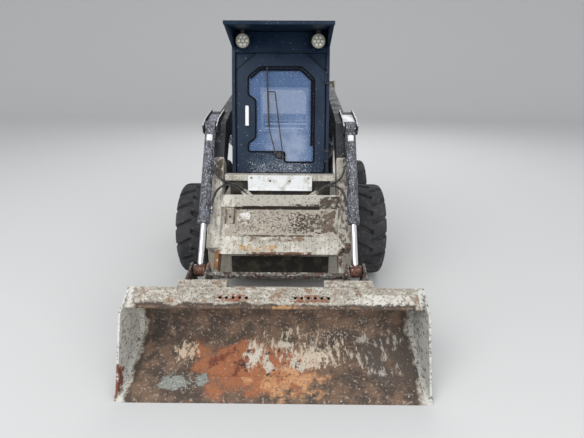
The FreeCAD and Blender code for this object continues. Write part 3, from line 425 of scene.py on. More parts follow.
CREAM_PAINT = Finish("cream_paint", "cream_paint", CREAM, rough=0.55, dents=0.0014,
                     dent_scale=18.0, layers=(
    Wear((0.42, 0.40, 0.345), 0.50, 7.0, soft=0.14, seed=2.0),
    Wear((0.33, 0.30, 0.25), 0.56, 26.0, soft=0.10, seed=7.0, stretch=(1.6, 1.0, 0.22)),
    Wear((0.39, 0.37, 0.32), 0.42, 9.0, soft=0.14, seed=71.0, region=on_arm(0.0, 0.55, 0.50, 0.06)),
    Wear((0.37, 0.33, 0.27), 0.42, 22.0, soft=0.10, seed=72.0,
         region=on_arm(0.0, 0.705, 0.42, 0.115, 0.15)),
    Wear((0.16, 0.13, 0.10), 0.545, 62.0, soft=0.05, seed=79.0,
         region=on_arm(-0.05, 0.70, 0.36, 0.12, 0.4)),
    Wear((0.055, 0.042, 0.032), 0.50, 60.0, soft=0.04, seed=73.0, rise=-0.0005,
         region=on_arm(0.22, 0.71, 0.30, 0.14, 0.65)),
    Wear((0.13, 0.095, 0.07), 0.46, 24.0, soft=0.06, seed=80.0,
         region=on_arm(0.345, 0.70, 0.075, 0.12, 0.4)),
    Wear((0.66, 0.65, 0.62), 0.42, 30.0, soft=0.05, seed=86.0,
         region=on_arm(-0.243, 0.656, 0.062, 0.036, 0.5)),
    # Painted shadow: a dark line along the top of the crossmember's recess, under the upper beam's lower
    # edge.
    Wear((0.035, 0.028, 0.022), 0.30, 20.0, soft=0.10, seed=87.0,
         region=on_arm(0.0, 0.600, 0.41, 0.013, 0.5)),
    # Painted shade: a dark line in the corner where the recess meets the lower beam's top.
    Wear((0.11, 0.085, 0.06), 0.42, 26.0, soft=0.10, seed=88.0,
         region=on_arm(0.0, 0.806, 0.42, 0.020, 0.6)),
    Wear((0.060, 0.045, 0.033), 0.44, 34.0, soft=0.05, seed=74.0, rise=0.002,
         region=on_arm(0.355, 0.56, 0.11, 0.062, 0.5)),
    Wear((0.055, 0.040, 0.030), 0.50, 40.0, soft=0.05, seed=89.0,
         region=on_arm(0.20, 0.585, 0.24, 0.018, 0.6)),
    Wear((0.075, 0.055, 0.040), 0.44, 42.0, soft=0.10, seed=103.0,
         region=on_arm(0.330, 0.570, 0.15, 0.085, 0.95)),
    Wear((0.085, 0.065, 0.048), 0.50, 44.0, soft=0.08, seed=104.0,
         region=on_arm(0.26, 0.70, 0.20, 0.15, 0.9)),
    Wear((0.20, 0.14, 0.09), 0.50, 30.0, soft=0.08, seed=75.0, region=on_arm(0.0, 0.835, 0.43, 0.028, 0.6)),
    Wear((0.46, 0.30, 0.15), 0.50, 22.0, soft=0.10, seed=76.0,
         region=on_arm(-0.15, 0.895, 0.28, 0.045, 0.7)),
    Wear((0.13, 0.07, 0.04), 0.42, 30.0, soft=0.06, seed=90.0, region=on_arm(0.0, 0.935, 0.43, 0.024, 0.7)),
    Wear((0.26, 0.135, 0.065), 0.32, 34.0, soft=0.09, seed=77.0,
         region=on_arm(-0.455, 0.975, 0.085, 0.085, 0.4)),
    Wear((0.09, 0.055, 0.04), 0.46, 30.0, soft=0.05, seed=78.0,
         region=on_arm(0.455, 0.94, 0.075, 0.13, 0.5)),
    Wear((0.14, 0.11, 0.085), 0.50, 34.0, soft=0.06, seed=91.0, stretch=(1.4, 1.0, 0.35),
         region=on_arm(0.455, 0.62, 0.075, 0.42, 0.5)),
    Wear((0.10, 0.08, 0.06), 0.42, 20.0, soft=0.10, seed=92.0,
         region=on_arm(-0.455, 0.30, 0.075, 0.16, 0.6)),
    Wear(RUST, 0.655, 40.0, soft=0.03, seed=11.0),
    Wear(SOOT, 0.61, 90.0, soft=0.02, seed=13.0, rise=-0.0005),
))
COUPLER_PAINT = Finish("coupler_paint", "cream_paint", (0.15, 0.13, 0.11), rough=0.75,
                       dents=0.0018, dent_scale=24.0, layers=(
    Wear((0.30, 0.28, 0.24), 0.54, 14.0, soft=0.10, seed=81.0),
    Wear((0.11, 0.045, 0.03), 0.54, 18.0, soft=0.08, seed=82.0),
    Wear(SOOT, 0.52, 46.0, soft=0.07, seed=83.0, rise=-0.0008),
    Wear((0.50, 0.48, 0.43), 0.60, 60.0, soft=0.05, seed=84.0),
    Wear((0.42, 0.40, 0.35), 0.46, 20.0, soft=0.07, seed=85.0,
         region=Region((0.52, -1.00, 0.42), (0.07, 0.2, 0.12), 0.5)),
    Wear((0.26, 0.135, 0.065), 0.36, 34.0, soft=0.09, seed=106.0,
         region=on_arm(-0.455, 0.975, 0.085, 0.085, 0.4)),
))
FRAME_PAINT = Finish("frame_paint", "frame_paint", (0.42, 0.395, 0.34), rough=0.6, dents=0.0012,
                     dent_scale=12.0, layers=(
    Wear((0.34, 0.315, 0.265), 0.50, 5.0, soft=0.16, seed=3.0),
    Wear((0.27, 0.235, 0.185), 0.56, 22.0, soft=0.14, seed=17.0, stretch=(1.0, 1.0, 0.3)),
    Wear((0.19, 0.15, 0.11), 0.46, 14.0, soft=0.14, seed=97.0,
         region=Region((0.0, 0.5, 0.22), (0.9, 1.6, 0.30), 0.8, boxed=True)),
    Wear((0.20, 0.085, 0.045), 0.66, 30.0, soft=0.04, seed=19.0),
    Wear(SOOT, 0.63, 85.0, soft=0.03, seed=23.0),
))
WHITE_PLATE = Finish("white_plate", "cream_paint", WHITE, rough=0.4, dents=0.0006, layers=(
    Wear((0.50, 0.48, 0.43), 0.58, 14.0, soft=0.09, seed=21.0),
    Wear((0.30, 0.29, 0.27), 0.645, 90.0, soft=0.02, seed=5.0),
))
INSIDE = Region((0.0, -1.40, 0.16), (0.845, 0.42, 0.31), 0.10, boxed=True)
LEFT_PLATE = Region((-0.860, -1.36, 0.27), (0.045, 0.50, 0.40), 0.2, boxed=True)
RIGHT_PLATE = Region((0.860, -1.36, 0.27), (0.045, 0.50, 0.40), 0.2, boxed=True)
BUCKET_PAINT = Finish("bucket_worn", "bucket_paint", (0.42, 0.395, 0.335), rough=0.78,
                      dents=0.004, dent_scale=11.0, layers=(
    Wear((0.30, 0.27, 0.22), 0.50, 18.0, soft=0.12, seed=25.0),
    Wear((0.56, 0.53, 0.46), 0.56, 50.0, soft=0.08, seed=27.0, stretch=(0.6, 1.0, 1.0)),
    Wear((0.15, 0.11, 0.08), 0.585, 75.0, soft=0.05, seed=28.0),
    Wear((0.23, 0.13, 0.075), 0.60, 12.0, soft=0.08, seed=29.0),
    # Painted shade with dirt: darkens the whole inside of the bucket.
    Wear((0.070, 0.050, 0.038), 0.30, 10.0, soft=0.10, seed=30.0, region=INSIDE),
    Wear((0.17, 0.105, 0.068), 0.52, 11.0, soft=0.10, seed=33.0, region=INSIDE),
    Wear((0.30, 0.24, 0.18), 0.60, 60.0, soft=0.05, seed=57.0, region=INSIDE),
    Wear((0.34, 0.125, 0.055), 0.35, 6.0, soft=0.09, seed=32.0,
         region=Region((-0.10, -1.45, 0.09), (0.70, 0.36, 0.27), 0.8)),
    Wear((0.53, 0.28, 0.135), 0.47, 16.0, soft=0.10, seed=34.0,
         region=Region((0.08, -1.54, 0.05), (0.52, 0.28, 0.15), 0.85)),
    Wear((0.16, 0.042, 0.025), 0.53, 11.0, soft=0.05, seed=39.0,
         region=Region((-0.27, -1.43, 0.10), (0.28, 0.26, 0.18), 0.7)),
    Wear((0.085, 0.066, 0.054), 0.44, 10.0, soft=0.08, seed=35.0,
         region=Region((0.68, -1.40, 0.12), (0.32, 0.36, 0.22), 0.6)),
    Wear((0.050, 0.038, 0.032), 0.42, 10.0, soft=0.08, seed=67.0,
         region=Region((-0.66, -1.27, 0.20), (0.26, 0.20, 0.20), 0.7)),
    Wear((0.50, 0.42, 0.32), 0.55, 42.0, soft=0.06, seed=37.0, stretch=(1.0, 0.35, 0.35),
         region=Region((0.16, -1.36, 0.14), (0.66, 0.28, 0.20), 0.6)),
    Wear((0.55, 0.49, 0.40), 0.55, 15.0, soft=0.05, seed=99.0, stretch=(1.0, 0.6, 0.6),
         region=Region((0.10, -1.40, 0.12), (0.55, 0.26, 0.20), 0.7)),
    Wear((0.40, 0.37, 0.32), 0.57, 34.0, soft=0.06, seed=101.0, stretch=(1.0, 0.4, 0.4),
         region=Region((0.62, -1.36, 0.14), (0.30, 0.34, 0.24), 0.6)),
    Wear((0.52, 0.47, 0.40), 0.53, 75.0, soft=0.05, seed=68.0,
         region=Region((0.34, -1.27, 0.20), (0.42, 0.10, 0.12), 0.7)),
    Wear((0.56, 0.43, 0.30), 0.47, 46.0, soft=0.07, seed=36.0, stretch=(1.0, 0.5, 0.5),
         region=Region((-0.53, -1.36, 0.11), (0.19, 0.17, 0.14), 0.85)),
    Wear((0.60, 0.54, 0.45), 0.44, 36.0, soft=0.06, seed=38.0, stretch=(1.0, 0.5, 0.5),
         region=Region((-0.13, -1.38, 0.11), (0.13, 0.22, 0.16), 0.85)),
    Wear((0.60, 0.50, 0.38), 0.49, 44.0, soft=0.06, seed=40.0, stretch=(1.0, 0.5, 0.5),
         region=Region((0.22, -1.38, 0.11), (0.42, 0.22, 0.17), 0.85)),
    Wear((0.060, 0.030, 0.022), 0.585, 22.0, soft=0.05, seed=69.0,
         region=Region((-0.05, -1.43, 0.10), (0.55, 0.26, 0.18), 0.7)),
    Wear((0.24, 0.25, 0.22), 0.38, 22.0, soft=0.05, seed=42.0, rise=0.003,
         region=Region((-0.57, -1.545, 0.04), (0.13, 0.085, 0.08), 0.55)),
    Wear((0.24, 0.25, 0.22), 0.38, 22.0, soft=0.05, seed=44.0, rise=0.003,
         region=Region((-0.405, -1.53, 0.045), (0.065, 0.065, 0.08), 0.55)),
    Wear((0.36, 0.38, 0.34), 0.58, 70.0, soft=0.05, seed=43.0,
         region=Region((-0.52, -1.54, 0.04), (0.20, 0.09, 0.08), 0.4)),
    # Paler grey on the inner side plates, lightened further as painted light, since their inward faces get
    # little light.
    Wear((0.56, 0.55, 0.50), 0.31, 9.0, soft=0.08, seed=45.0, region=LEFT_PLATE),
    Wear((0.52, 0.52, 0.475), 0.31, 9.0, soft=0.08, seed=47.0, region=RIGHT_PLATE),
    Wear((0.60, 0.59, 0.55), 0.55, 20.0, soft=0.07, seed=49.0, region=LEFT_PLATE),
    Wear((0.22, 0.20, 0.17), 0.575, 34.0, soft=0.05, seed=51.0, stretch=(1.0, 0.8, 1.6), region=LEFT_PLATE),
    Wear((0.19, 0.175, 0.15), 0.56, 30.0, soft=0.06, seed=59.0, stretch=(1.0, 0.8, 1.6),
         region=RIGHT_PLATE),
    Wear((0.18, 0.055, 0.03), 0.44, 24.0, soft=0.05, seed=46.0,
         region=Region((-0.86, -1.60, 0.10), (0.05, 0.20, 0.17), 0.7)),
    Wear((0.16, 0.08, 0.05), 0.42, 24.0, soft=0.05, seed=53.0,
         region=Region((0.0, -1.20, 0.02), (0.90, 0.60, 0.035), 0.6, boxed=True)),
    Wear((0.25, 0.105, 0.06), 0.45, 40.0, soft=0.06, seed=48.0,
         region=Region((-0.24, -1.345, 0.474), (0.15, 0.040, 0.034), 0.5)),
    Wear((0.23, 0.11, 0.065), 0.48, 40.0, soft=0.06, seed=50.0,
         region=Region((0.21, -1.350, 0.472), (0.17, 0.042, 0.036), 0.5)),
    Wear((0.42, 0.23, 0.10), 0.50, 26.0, soft=0.07, seed=60.0,
         region=Region((0.06, -1.40, 0.44), (0.16, 0.05, 0.04), 0.7)),
    Wear((0.58, 0.56, 0.505), 0.44, 36.0, soft=0.10, seed=105.0,
         region=Region((0.62, -1.36, 0.475), (0.40, 0.09, 0.065), 0.8)),
    Wear((0.11, 0.09, 0.07), 0.605, 80.0, soft=0.03, seed=31.0, rise=-0.0006),
    Wear((0.62, 0.59, 0.52), 0.665, 85.0, soft=0.02, seed=52.0, rise=0.0004),
))
STRIP_RUST = Finish("strip_rust", "bucket_paint", (0.22, 0.085, 0.05), rough=0.9, layers=(
    Wear((0.40, 0.34, 0.27), 0.52, 40.0, soft=0.06, seed=96.0),
))
# Near black as painted shade: stands for the deep shadow on the frame's front panel under the crossmember.
UNDERSIDE_PAINTED_SHADE = Finish("underside_dirt", "frame_paint", (0.028, 0.026, 0.022), rough=0.95,
                   dents=0.002, dent_scale=14.0, layers=(
    Wear((0.075, 0.065, 0.045), 0.54, 12.0, soft=0.08, seed=55.0),
))
# Pale strips on the knee brackets' top edges: worn bare edges, painted lighter as highlights.
BRIGHT_EDGE = Finish("bright_edge", "worn_steel", (0.52, 0.53, 0.55), rough=0.45, metallic=0.2, layers=(
    Wear((0.10, 0.095, 0.09), 0.58, 60.0, soft=0.06, seed=93.0),
))
GREY_PLATE = Finish("grey_plate", "black_paint", (0.22, 0.235, 0.29), rough=0.55, layers=(
    Wear((0.08, 0.08, 0.09), 0.54, 40.0, soft=0.08, seed=94.0),
    Wear((0.45, 0.46, 0.50), 0.62, 90.0, soft=0.03, seed=95.0),
))
WORN_STEEL = Finish("worn_steel", "worn_steel", (0.20, 0.13, 0.09), rough=0.6, metallic=0.4, layers=(
    Wear(DARK_RUST, 0.52, 22.0, soft=0.08, seed=33.0),
    Wear(STEEL, 0.60, 14.0, soft=0.05, seed=35.0, rough=0.45),
))
FITTING = Finish("fitting_zinc", "worn_steel", (0.34, 0.32, 0.27), rough=0.42, metallic=0.7, layers=(
    Wear((0.12, 0.09, 0.06), 0.55, 60.0, soft=0.08, seed=61.0, rough=0.8),
))
ROD_EYES = Region((0.0, -0.983, 0.455), (0.7, 0.048, 0.048), 0.3, boxed=True)
CHROME = Finish("chrome", "chrome_rod", (0.80, 0.80, 0.81), rough=0.10, metallic=1.0, layers=(
    Wear((0.085, 0.038, 0.026), 0.30, 30.0, soft=0.06, seed=63.0,
         region=Region((0.0, -0.983, 0.455), (0.7, 0.050, 0.050), 0.2, boxed=True)),
    Wear((0.20, 0.085, 0.05), 0.50, 45.0, soft=0.06, seed=64.0, region=ROD_EYES),
    Wear((0.40, 0.36, 0.31), 0.60, 90.0, soft=0.04, seed=66.0, region=ROD_EYES),
))
RUBBER = Finish("tyre_rubber", "tyre_rubber", (0.021, 0.022, 0.025), rough=0.80,
                dents=0.0008, dent_scale=60.0, layers=(
    Wear((0.045, 0.045, 0.047), 0.52, 7.0, soft=0.14, seed=37.0, rough=0.9),
    Wear((0.09, 0.088, 0.082), 0.62, 34.0, soft=0.08, seed=38.0, rough=0.9),
))
RIM_PAINT = Finish("rim_paint", "rim_paint", (0.43, 0.41, 0.36), rough=0.6, layers=(
    Wear((0.30, 0.265, 0.21), 0.52, 12.0, soft=0.14, seed=41.0),
    Wear((0.16, 0.115, 0.08), 0.60, 30.0, soft=0.08, seed=43.0),
    Wear((0.17, 0.065, 0.035), 0.67, 40.0, soft=0.04, seed=98.0),
))
IRON = Finish("engine_iron", "engine_iron", (0.06, 0.055, 0.05), rough=0.8, layers=(
    Wear(SOIL, 0.55, 12.0, soft=0.1, seed=45.0),
))
VINYL = Finish("seat_vinyl", "seat_cover", (0.02, 0.02, 0.022), rough=0.5, dents=0.0005, dent_scale=120.0)
PLASTIC = Finish("black_plastic", "black_plastic", (0.018, 0.018, 0.02), rough=0.5)
# Near black rubber for the seals and joints, also used as painted shade on the door's reveal and in the
# bucket's holes.
SEAL_AND_SHADE = Finish("door_seal", "black_plastic", (0.004, 0.004, 0.005), rough=0.85, shine=0.15)
RIM_RUBBER = Finish("window_rubber", "white_plastic", (0.50, 0.55, 0.60), rough=0.5)
HANDLE = Finish("white_plastic", "white_plastic", (0.72, 0.73, 0.73), rough=0.3)
LAMP_GLASS = Finish("lamp_lens", "white_plastic", (0.33, 0.32, 0.23), rough=0.25, coat=0.3)
LAMP_DOME = Finish("lamp_dome", "white_plastic", (0.60, 0.60, 0.50), rough=0.12, coat=0.6)
HOSE = Finish("hose_rubber", "hose_rubber", (0.016, 0.016, 0.018), rough=0.55, layers=(
    Wear((0.075, 0.07, 0.065), 0.55, 40.0, soft=0.1, seed=65.0, rough=0.85),
))
FLOOR = Finish("floor_grey", "", (0.62, 0.62, 0.61), rough=0.95, shine=0.1)
DOOR_GLASS = Glass("door_pane", "cab_glass", (0.15, 0.26, 0.50), (0.50, 0.54, 0.60), clear=0.70)
PANE = Glass("clear_pane", "cab_glass", (0.22, 0.27, 0.32), (0.30, 0.32, 0.33), clear=0.86)


@dataclass
class Form:
    """A mesh kept as arrays: points, and faces of one size each."""

    points: Array
    faces: list[Array] = field(default_factory=list)

    def placed(self, turn: Array | None = None, at: Sequence[float] = (0.0, 0.0, 0.0)) -> "Form":
        """The form turned by a 3 by 3 matrix and then moved."""
        points = self.points if turn is None else self.points @ np.asarray(turn).T
        return Form(points + np.asarray(at, float), self.faces)

    def mirrored(self) -> "Form":
        """The form on the machine's other side, with its faces turned to point outwards."""
        return Form(self.points * (-1.0, 1.0, 1.0), [part[:, ::-1] for part in self.faces])


def joined(forms: Sequence[Form]) -> Form:
    """Several forms as one mesh.

    Args:
        forms: The forms.

    Returns:
        One form that holds them all.
    """
    starts = np.cumsum([0] + [len(form.points) for form in forms[:-1]])
    faces = [part + start for form, start in zip(forms, starts) for part in form.faces]
    return Form(np.concatenate([form.points for form in forms]), faces)


def both(form: Form) -> Form:
    """A form and its mirror image."""
    return joined([form, form.mirrored()])


def copies(form: Form, places: Array) -> Form:
    """The same form at many places, added by broadcasting.

    Args:
        form: The form to repeat.
        places: Its places, one row each.

    Returns:
        One form of all the copies.
    """
    places = np.asarray(places, float)
    points = (form.points[None] + places[:, None]).reshape(-1, 3)
    shift = np.arange(len(places))[:, None, None] * len(form.points)
    return Form(points, [(part[None] + shift).reshape(-1, part.shape[1]) for part in form.faces])


def grid_faces(rows: int, columns: int, close_rows: bool, close_columns: bool) -> Array:
    """The quads of a grid whose points are stored row by row.

    Args:
        rows: The number of rows.
        columns: The number of columns.
        close_rows: Whether the last row joins the first.
        close_columns: Whether the last column joins the first.

    Returns:
        Four point numbers for each quad.
    """
    row = np.arange(rows if close_rows else rows - 1)[:, None]
    column = np.arange(columns if close_columns else columns - 1)[None, :]
    after, beside = (row + 1) % rows, (column + 1) % columns
    quads = [row * columns + column, row * columns + beside,
             after * columns + beside, after * columns + column]
    return np.stack([quad.ravel() for quad in quads], axis=1)


def surface(points: Array, close_rows: bool = False, close_columns: bool = False) -> Form:
    """A surface from a grid of points.

    Args:
        points: Rows by columns by 3.
        close_rows: Whether the last row joins the first.
        close_columns: Whether the last column joins the first.

    Returns:
        The surface as quads.
    """
    rows, columns = points.shape[:2]
    return Form(points.reshape(-1, 3), [grid_faces(rows, columns, close_rows, close_columns)])


def capped(points: Array) -> Form:
    """A tube from rings of points, closed by a fan over each end.

    Args:
        points: Rings by points on a ring by 3.

    Returns:
        The closed form.
    """
    rings, count = points.shape[:2]
    body = surface(points, close_columns=True)
    centres = np.stack([points[0].mean(0), points[-1].mean(0)])
    around = np.arange(count)
    after = (around + 1) % count
    total = rings * count
    start = np.stack([np.full(count, total), after, around], axis=1)
    last = (rings - 1) * count
    end = np.stack([np.full(count, total + 1), last + around, last + after], axis=1)
    return Form(np.concatenate([body.points, centres]), [body.faces[0], start, end])


def turned(profile: Sequence[tuple[float, float]], sides: int = 32, axis: int = 2) -> Form:
    """A profile turned about an axis: each (along, radius) becomes a ring at angle 2 pi j / sides.

    Args:
        profile: The (along, radius) pairs, from one end to the other.
        sides: The number of sides.
        axis: The axis, 0 for X, 1 for Y and 2 for Z.

    Returns:
        The closed form.
    """
    along, radius = np.asarray(profile, float).T
    angle = np.linspace(0.0, 2.0 * math.pi, sides, endpoint=False)
    rings = np.empty((len(along), sides, 3))
    rings[:, :, axis] = along[:, None]
    rings[:, :, (axis + 1) % 3] = radius[:, None] * np.cos(angle)
    rings[:, :, (axis + 2) % 3] = radius[:, None] * np.sin(angle)
    return capped(rings)


def swept(path: Array, outline: Array, up: Point = (0.0, 0.0, 1.0)) -> Form:
    """An outline carried along a path.

    At each point the outline's first axis is the path's direction crossed with up.

    Args:
        path: The path's points.
        outline: The outline's (across, up) points.
        up: A direction that the path never follows.

    Returns:
        The closed form.
    """
    path = np.asarray(path, float)
    ahead = np.gradient(path, axis=0)
    ahead /= np.linalg.norm(ahead, axis=1, keepdims=True)
    across = np.cross(ahead, up)
    across /= np.linalg.norm(across, axis=1, keepdims=True)
    above = np.cross(across, ahead)
    outline = np.asarray(outline, float)
    rings = path[:, None] + outline[None, :, :1] * across[:, None] + outline[None, :, 1:] * above[:, None]
    return capped(rings)


def circle(radius: float, sides: int = 12) -> Array:
    """Points on a circle: radius times (cos, sin) of equal steps."""
    angle = np.linspace(0.0, 2.0 * math.pi, sides, endpoint=False)
    return radius * np.stack([np.cos(angle), np.sin(angle)], axis=1)


def brick(low: Point, high: Point) -> Form:
    """A plain box between two corners."""
    low, high = np.asarray(low, float), np.asarray(high, float)
    corners = np.array([[0, 0], [1, 0], [1, 1], [0, 1]], float)
    rings = np.stack([np.column_stack([corners, np.full(4, level)]) for level in (0.0, 1.0)])
    return capped(low + rings * (high - low))


def slab(outline: Sequence[tuple[float, float]], start: float, end: float, axis: int = 0) -> Form:
    """An outline made solid between two levels of an axis: two rings of the same points.

    Args:
        outline: The (first, second) points in the order of the two other axes.
        start: The lower level.
        end: The upper level.
        axis: 0 for an outline in (Y, Z), 1 for (X, Z) and 2 for (X, Y).

    Returns:
        The closed form, for outlines that a fan from their middle can fill.
    """
    flat = np.asarray(outline, float)
    rings = np.stack([np.insert(flat, axis, level, axis=1) for level in (start, end)])
    return capped(rings)


def turn_about_x(degrees: float) -> Array:
    """The matrix of a turn about +X."""
    cosine, sine = math.cos(math.radians(degrees)), math.sin(math.radians(degrees))
    return np.array([[1.0, 0.0, 0.0], [0.0, cosine, -sine], [0.0, sine, cosine]])


def band(edges: Sequence[tuple[Array, float]]) -> Array:
    """Rings across a band in a flat front: each (outline, depth) gives points (X, depth, Z), one to a ring.

    Args:
        edges: The band's edges in turn, each an outline's (X, Z) points and its depth.

    Returns:
        Points by edges by 3.
    """
    return np.stack([np.column_stack([edge[:, 0], np.full(len(edge), depth), edge[:, 1]])
                     for edge, depth in edges], axis=1)


def bead(along: Array, middle: tuple[float, float], size: tuple[float, float, float], axis: int) -> Form:
    """A weld bead along an axis: its radius at a place is radius + ripple sin(waves times the place).

    Args:
        along: Its places along the axis.
        middle: Its middle on the two other axes.
        size: The radius, the ripple and the waves.
        axis: The axis, 0 for X and 2 for Z.

    Returns:
        The closed form.
    """
    radius, ripple, waves = size
    section = middle + circle(1.0, 8)[None] * (radius + ripple * np.sin(along * waves))[:, None, None]
    place = np.broadcast_to(along[:, None, None], section.shape[:2] + (1,))
    return capped(np.concatenate([section[..., :axis], place, section[..., axis:]], axis=2))


def shown(name: str, data: bpy.types.ID) -> bpy.types.Object:
    """A new object of the scene that holds the data."""
    piece = bpy.data.objects.new(name, data)
    bpy.context.scene.collection.objects.link(piece)
    return piece


def build(name: str, form: Form, finish: Finish | Glass, body: str, smooth: float = 35.0,
          bevel: float = 0.0) -> bpy.types.Object:
    """Puts a form into the scene.

    Args:
        name: The piece's name.
        form: Its mesh.
        finish: Its finish.
        body: The body that it moves with.
        smooth: The angle above which an edge stays sharp, in degrees.
        bevel: The width of its rounded edges, in metres.

    Returns:
        The new object.
    """
    mesh = bpy.data.meshes.new(name)
    mesh.from_pydata(form.points.tolist(), [], [face for part in form.faces for face in part.tolist()])
    return finished(name, mesh, finish, body, smooth, bevel)


def finished(name: str, mesh: bpy.types.Mesh, finish: Finish | Glass, body: str, smooth: float,
             bevel: float) -> bpy.types.Object:
    """Points a mesh's faces outwards, shades it and hands it to its body."""
    work = bmesh.new()
    work.from_mesh(mesh)
    bmesh.ops.remove_doubles(work, verts=work.verts, dist=FORM_MERGE)
    bmesh.ops.recalc_face_normals(work, faces=work.faces)
    work.to_mesh(mesh)
    work.free()
    mesh.shade_smooth()
    mesh.set_sharp_from_angle(angle=math.radians(smooth))
    mesh.materials.clear()
    mesh.materials.append(finish.material())
    piece = shown(name, mesh)
    if bevel:
        modifier = piece.modifiers.new("rounded_edges", "BEVEL")
        modifier.width = bevel
        modifier.segments = 2
        modifier.limit_method = "ANGLE"
        modifier.angle_limit = math.radians(30)
        modifier.harden_normals = True
    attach(piece, body)
    log.info("%s: %d faces", name, len(mesh.polygons))
    return piece


def dressed(node: str, finish: Finish | Glass, bevel: float = 0.003, smooth: float = 35.0,
            name: str = "") -> bpy.types.Object:
    """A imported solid's own surface, merged, with its flat faces whole and its edges rounded.

    Args:
        node: The solid's name.
        finish: Its finish.
        bevel: The width of its rounded edges, in metres.
        smooth: The angle above which an edge stays sharp, in degrees.
        name: The piece's name, or nothing for one made from the solid's.

    Returns:
        The piece, which stands for the solid.
    """
    solid = frame["nodes"][node]
    work = bmesh.new()
    work.from_mesh(solid.data)
    bmesh.ops.remove_doubles(work, verts=work.verts, dist=SOLID_MERGE)
    bmesh.ops.dissolve_limit(work, angle_limit=math.radians(FLAT), verts=work.verts, edges=work.edges)
    mesh = bpy.data.meshes.new(name or node + "_skin")
    work.to_mesh(mesh)
    work.free()
    for layer in [layer for layer in mesh.attributes if layer.name == "custom_normal"]:
        mesh.attributes.remove(layer)
    body = next(body for body, nodes in frame["record"]["behaviour"]["bodies"].items() if node in nodes)
    piece = finished(mesh.name, mesh, finish, body, smooth, bevel)
    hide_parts(node)
    return piece


def bolt(radius: float, height: float, axis: int, outward: float = 1.0) -> Form:
    """A hexagon head with a chamfer on a thin washer, from the surface at 0 out along an axis."""
    washer = turned([(0.0, radius * 1.35), (height * 0.18 * outward, radius * 1.35)], 20, axis)
    head = turned([(height * 0.18 * outward, radius), (height * 0.85 * outward, radius),
                   (height * outward, radius * 0.86)], 6, axis)
    return joined([washer, head])


@dataclass
class Hoses:
    """The four hoses from the tilt cylinders' ports to the crossmember's adapters.

    A route's points are (out from the middle, down along the arm's front part, behind the cylinder's
    line), in metres.
    """

    diameter: float = 0.016
    lengths: tuple[float, ...] = (0.342, 0.374, 0.339, 0.374)
    right_upper: Route = ((0.461, 0.285, 0.0), (0.460, 0.342, 0.003), (0.430, 0.400, 0.026),
                          (0.362, 0.420, 0.058), (0.296, 0.424, 0.086), (0.240, 0.468, 0.100))
    right_lower: Route = ((0.461, 0.640, 0.0), (0.459, 0.580, -0.003), (0.444, 0.516, 0.0),
                          (0.410, 0.462, 0.016), (0.358, 0.440, 0.038), (0.300, 0.452, 0.062),
                          (0.256, 0.496, 0.076))
    left_upper: Route = ((0.461, 0.285, 0.0), (0.459, 0.340, 0.002), (0.432, 0.402, 0.026),
                         (0.366, 0.426, 0.058), (0.300, 0.438, 0.084), (0.246, 0.478, 0.098))
    left_lower: Route = ((0.461, 0.640, 0.0), (0.460, 0.580, -0.002), (0.450, 0.518, -0.002),
                         (0.416, 0.466, 0.008), (0.358, 0.442, 0.032), (0.300, 0.454, 0.056),
                         (0.258, 0.500, 0.068))
    crimp: float = 0.022

    def points(self, route: Route, side: Side) -> Array:
        """A route's points in the frame: the arm's slope turns 'down' and 'behind' into Y and Z."""
        out, down, behind = np.array(route).T
        return np.column_stack([side.value * out, *along_arm(down, behind)])

    def curve(self, name: str, points: Array) -> bpy.types.Object:
        """A hose: one open NURBS spline whose control points are the route's."""
        data = bpy.data.curves.new(name, "CURVE")
        data.dimensions = "3D"
        data.bevel_depth = self.diameter / 2
        data.bevel_resolution = 6
        data.use_fill_caps = True
        spline = data.splines.new("NURBS")
        spline.points.add(len(points) - 1)
        spline.points.foreach_set("co", np.column_stack([points, np.ones(len(points))]).ravel())
        spline.order_u = 3
        spline.use_endpoint_u = True
        spline.resolution_u = 16
        data.materials.append(HOSE.material())
        piece = shown(name, data)
        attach(piece, "arms")
        return piece

    def fitting(self, end: Array, ahead: Array) -> Form:
        """A hose's end: a hexagon nut on the port and a crimped sleeve with a groove behind it."""
        radius = self.diameter / 2
        nut = turned([(-0.001, radius * 1.45), (0.009, radius * 1.45), (0.010, radius * 1.30)], 6, 0)
        wide, groove = radius * 1.28, radius * 1.16
        sleeve = turned([(0.010, wide), (0.014, wide), (0.0148, groove), (0.0164, groove), (0.0172, wide),
                         (self.crimp, radius * 1.22)], 20, 0)
        ahead = ahead / np.linalg.norm(ahead)
        across = np.cross((0.0, 0.0, 1.0), ahead)
        across /= np.linalg.norm(across)
        return joined([nut, sleeve]).placed(np.column_stack([ahead, across, np.cross(ahead, across)]), end)

    def make(self) -> None:
        """Builds the whole sub-assembly."""
        rows = ((Side.RIGHT, "upper", self.right_upper), (Side.RIGHT, "lower", self.right_lower),
                (Side.LEFT, "upper", self.left_upper), (Side.LEFT, "lower", self.left_lower))
        for (side, kind, route), length in zip(rows, self.lengths):
            name = f"{side.name.lower()}_{kind}_hose"
            points = self.points(route, side)
            line = self.curve(name + "_line", points)
            ends = joined([self.fitting(points[0], points[1] - points[0]),
                           self.fitting(points[-1], points[-2] - points[-1])])
            nuts = build(name + "_fittings", ends, FITTING, "arms")
            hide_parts(name)


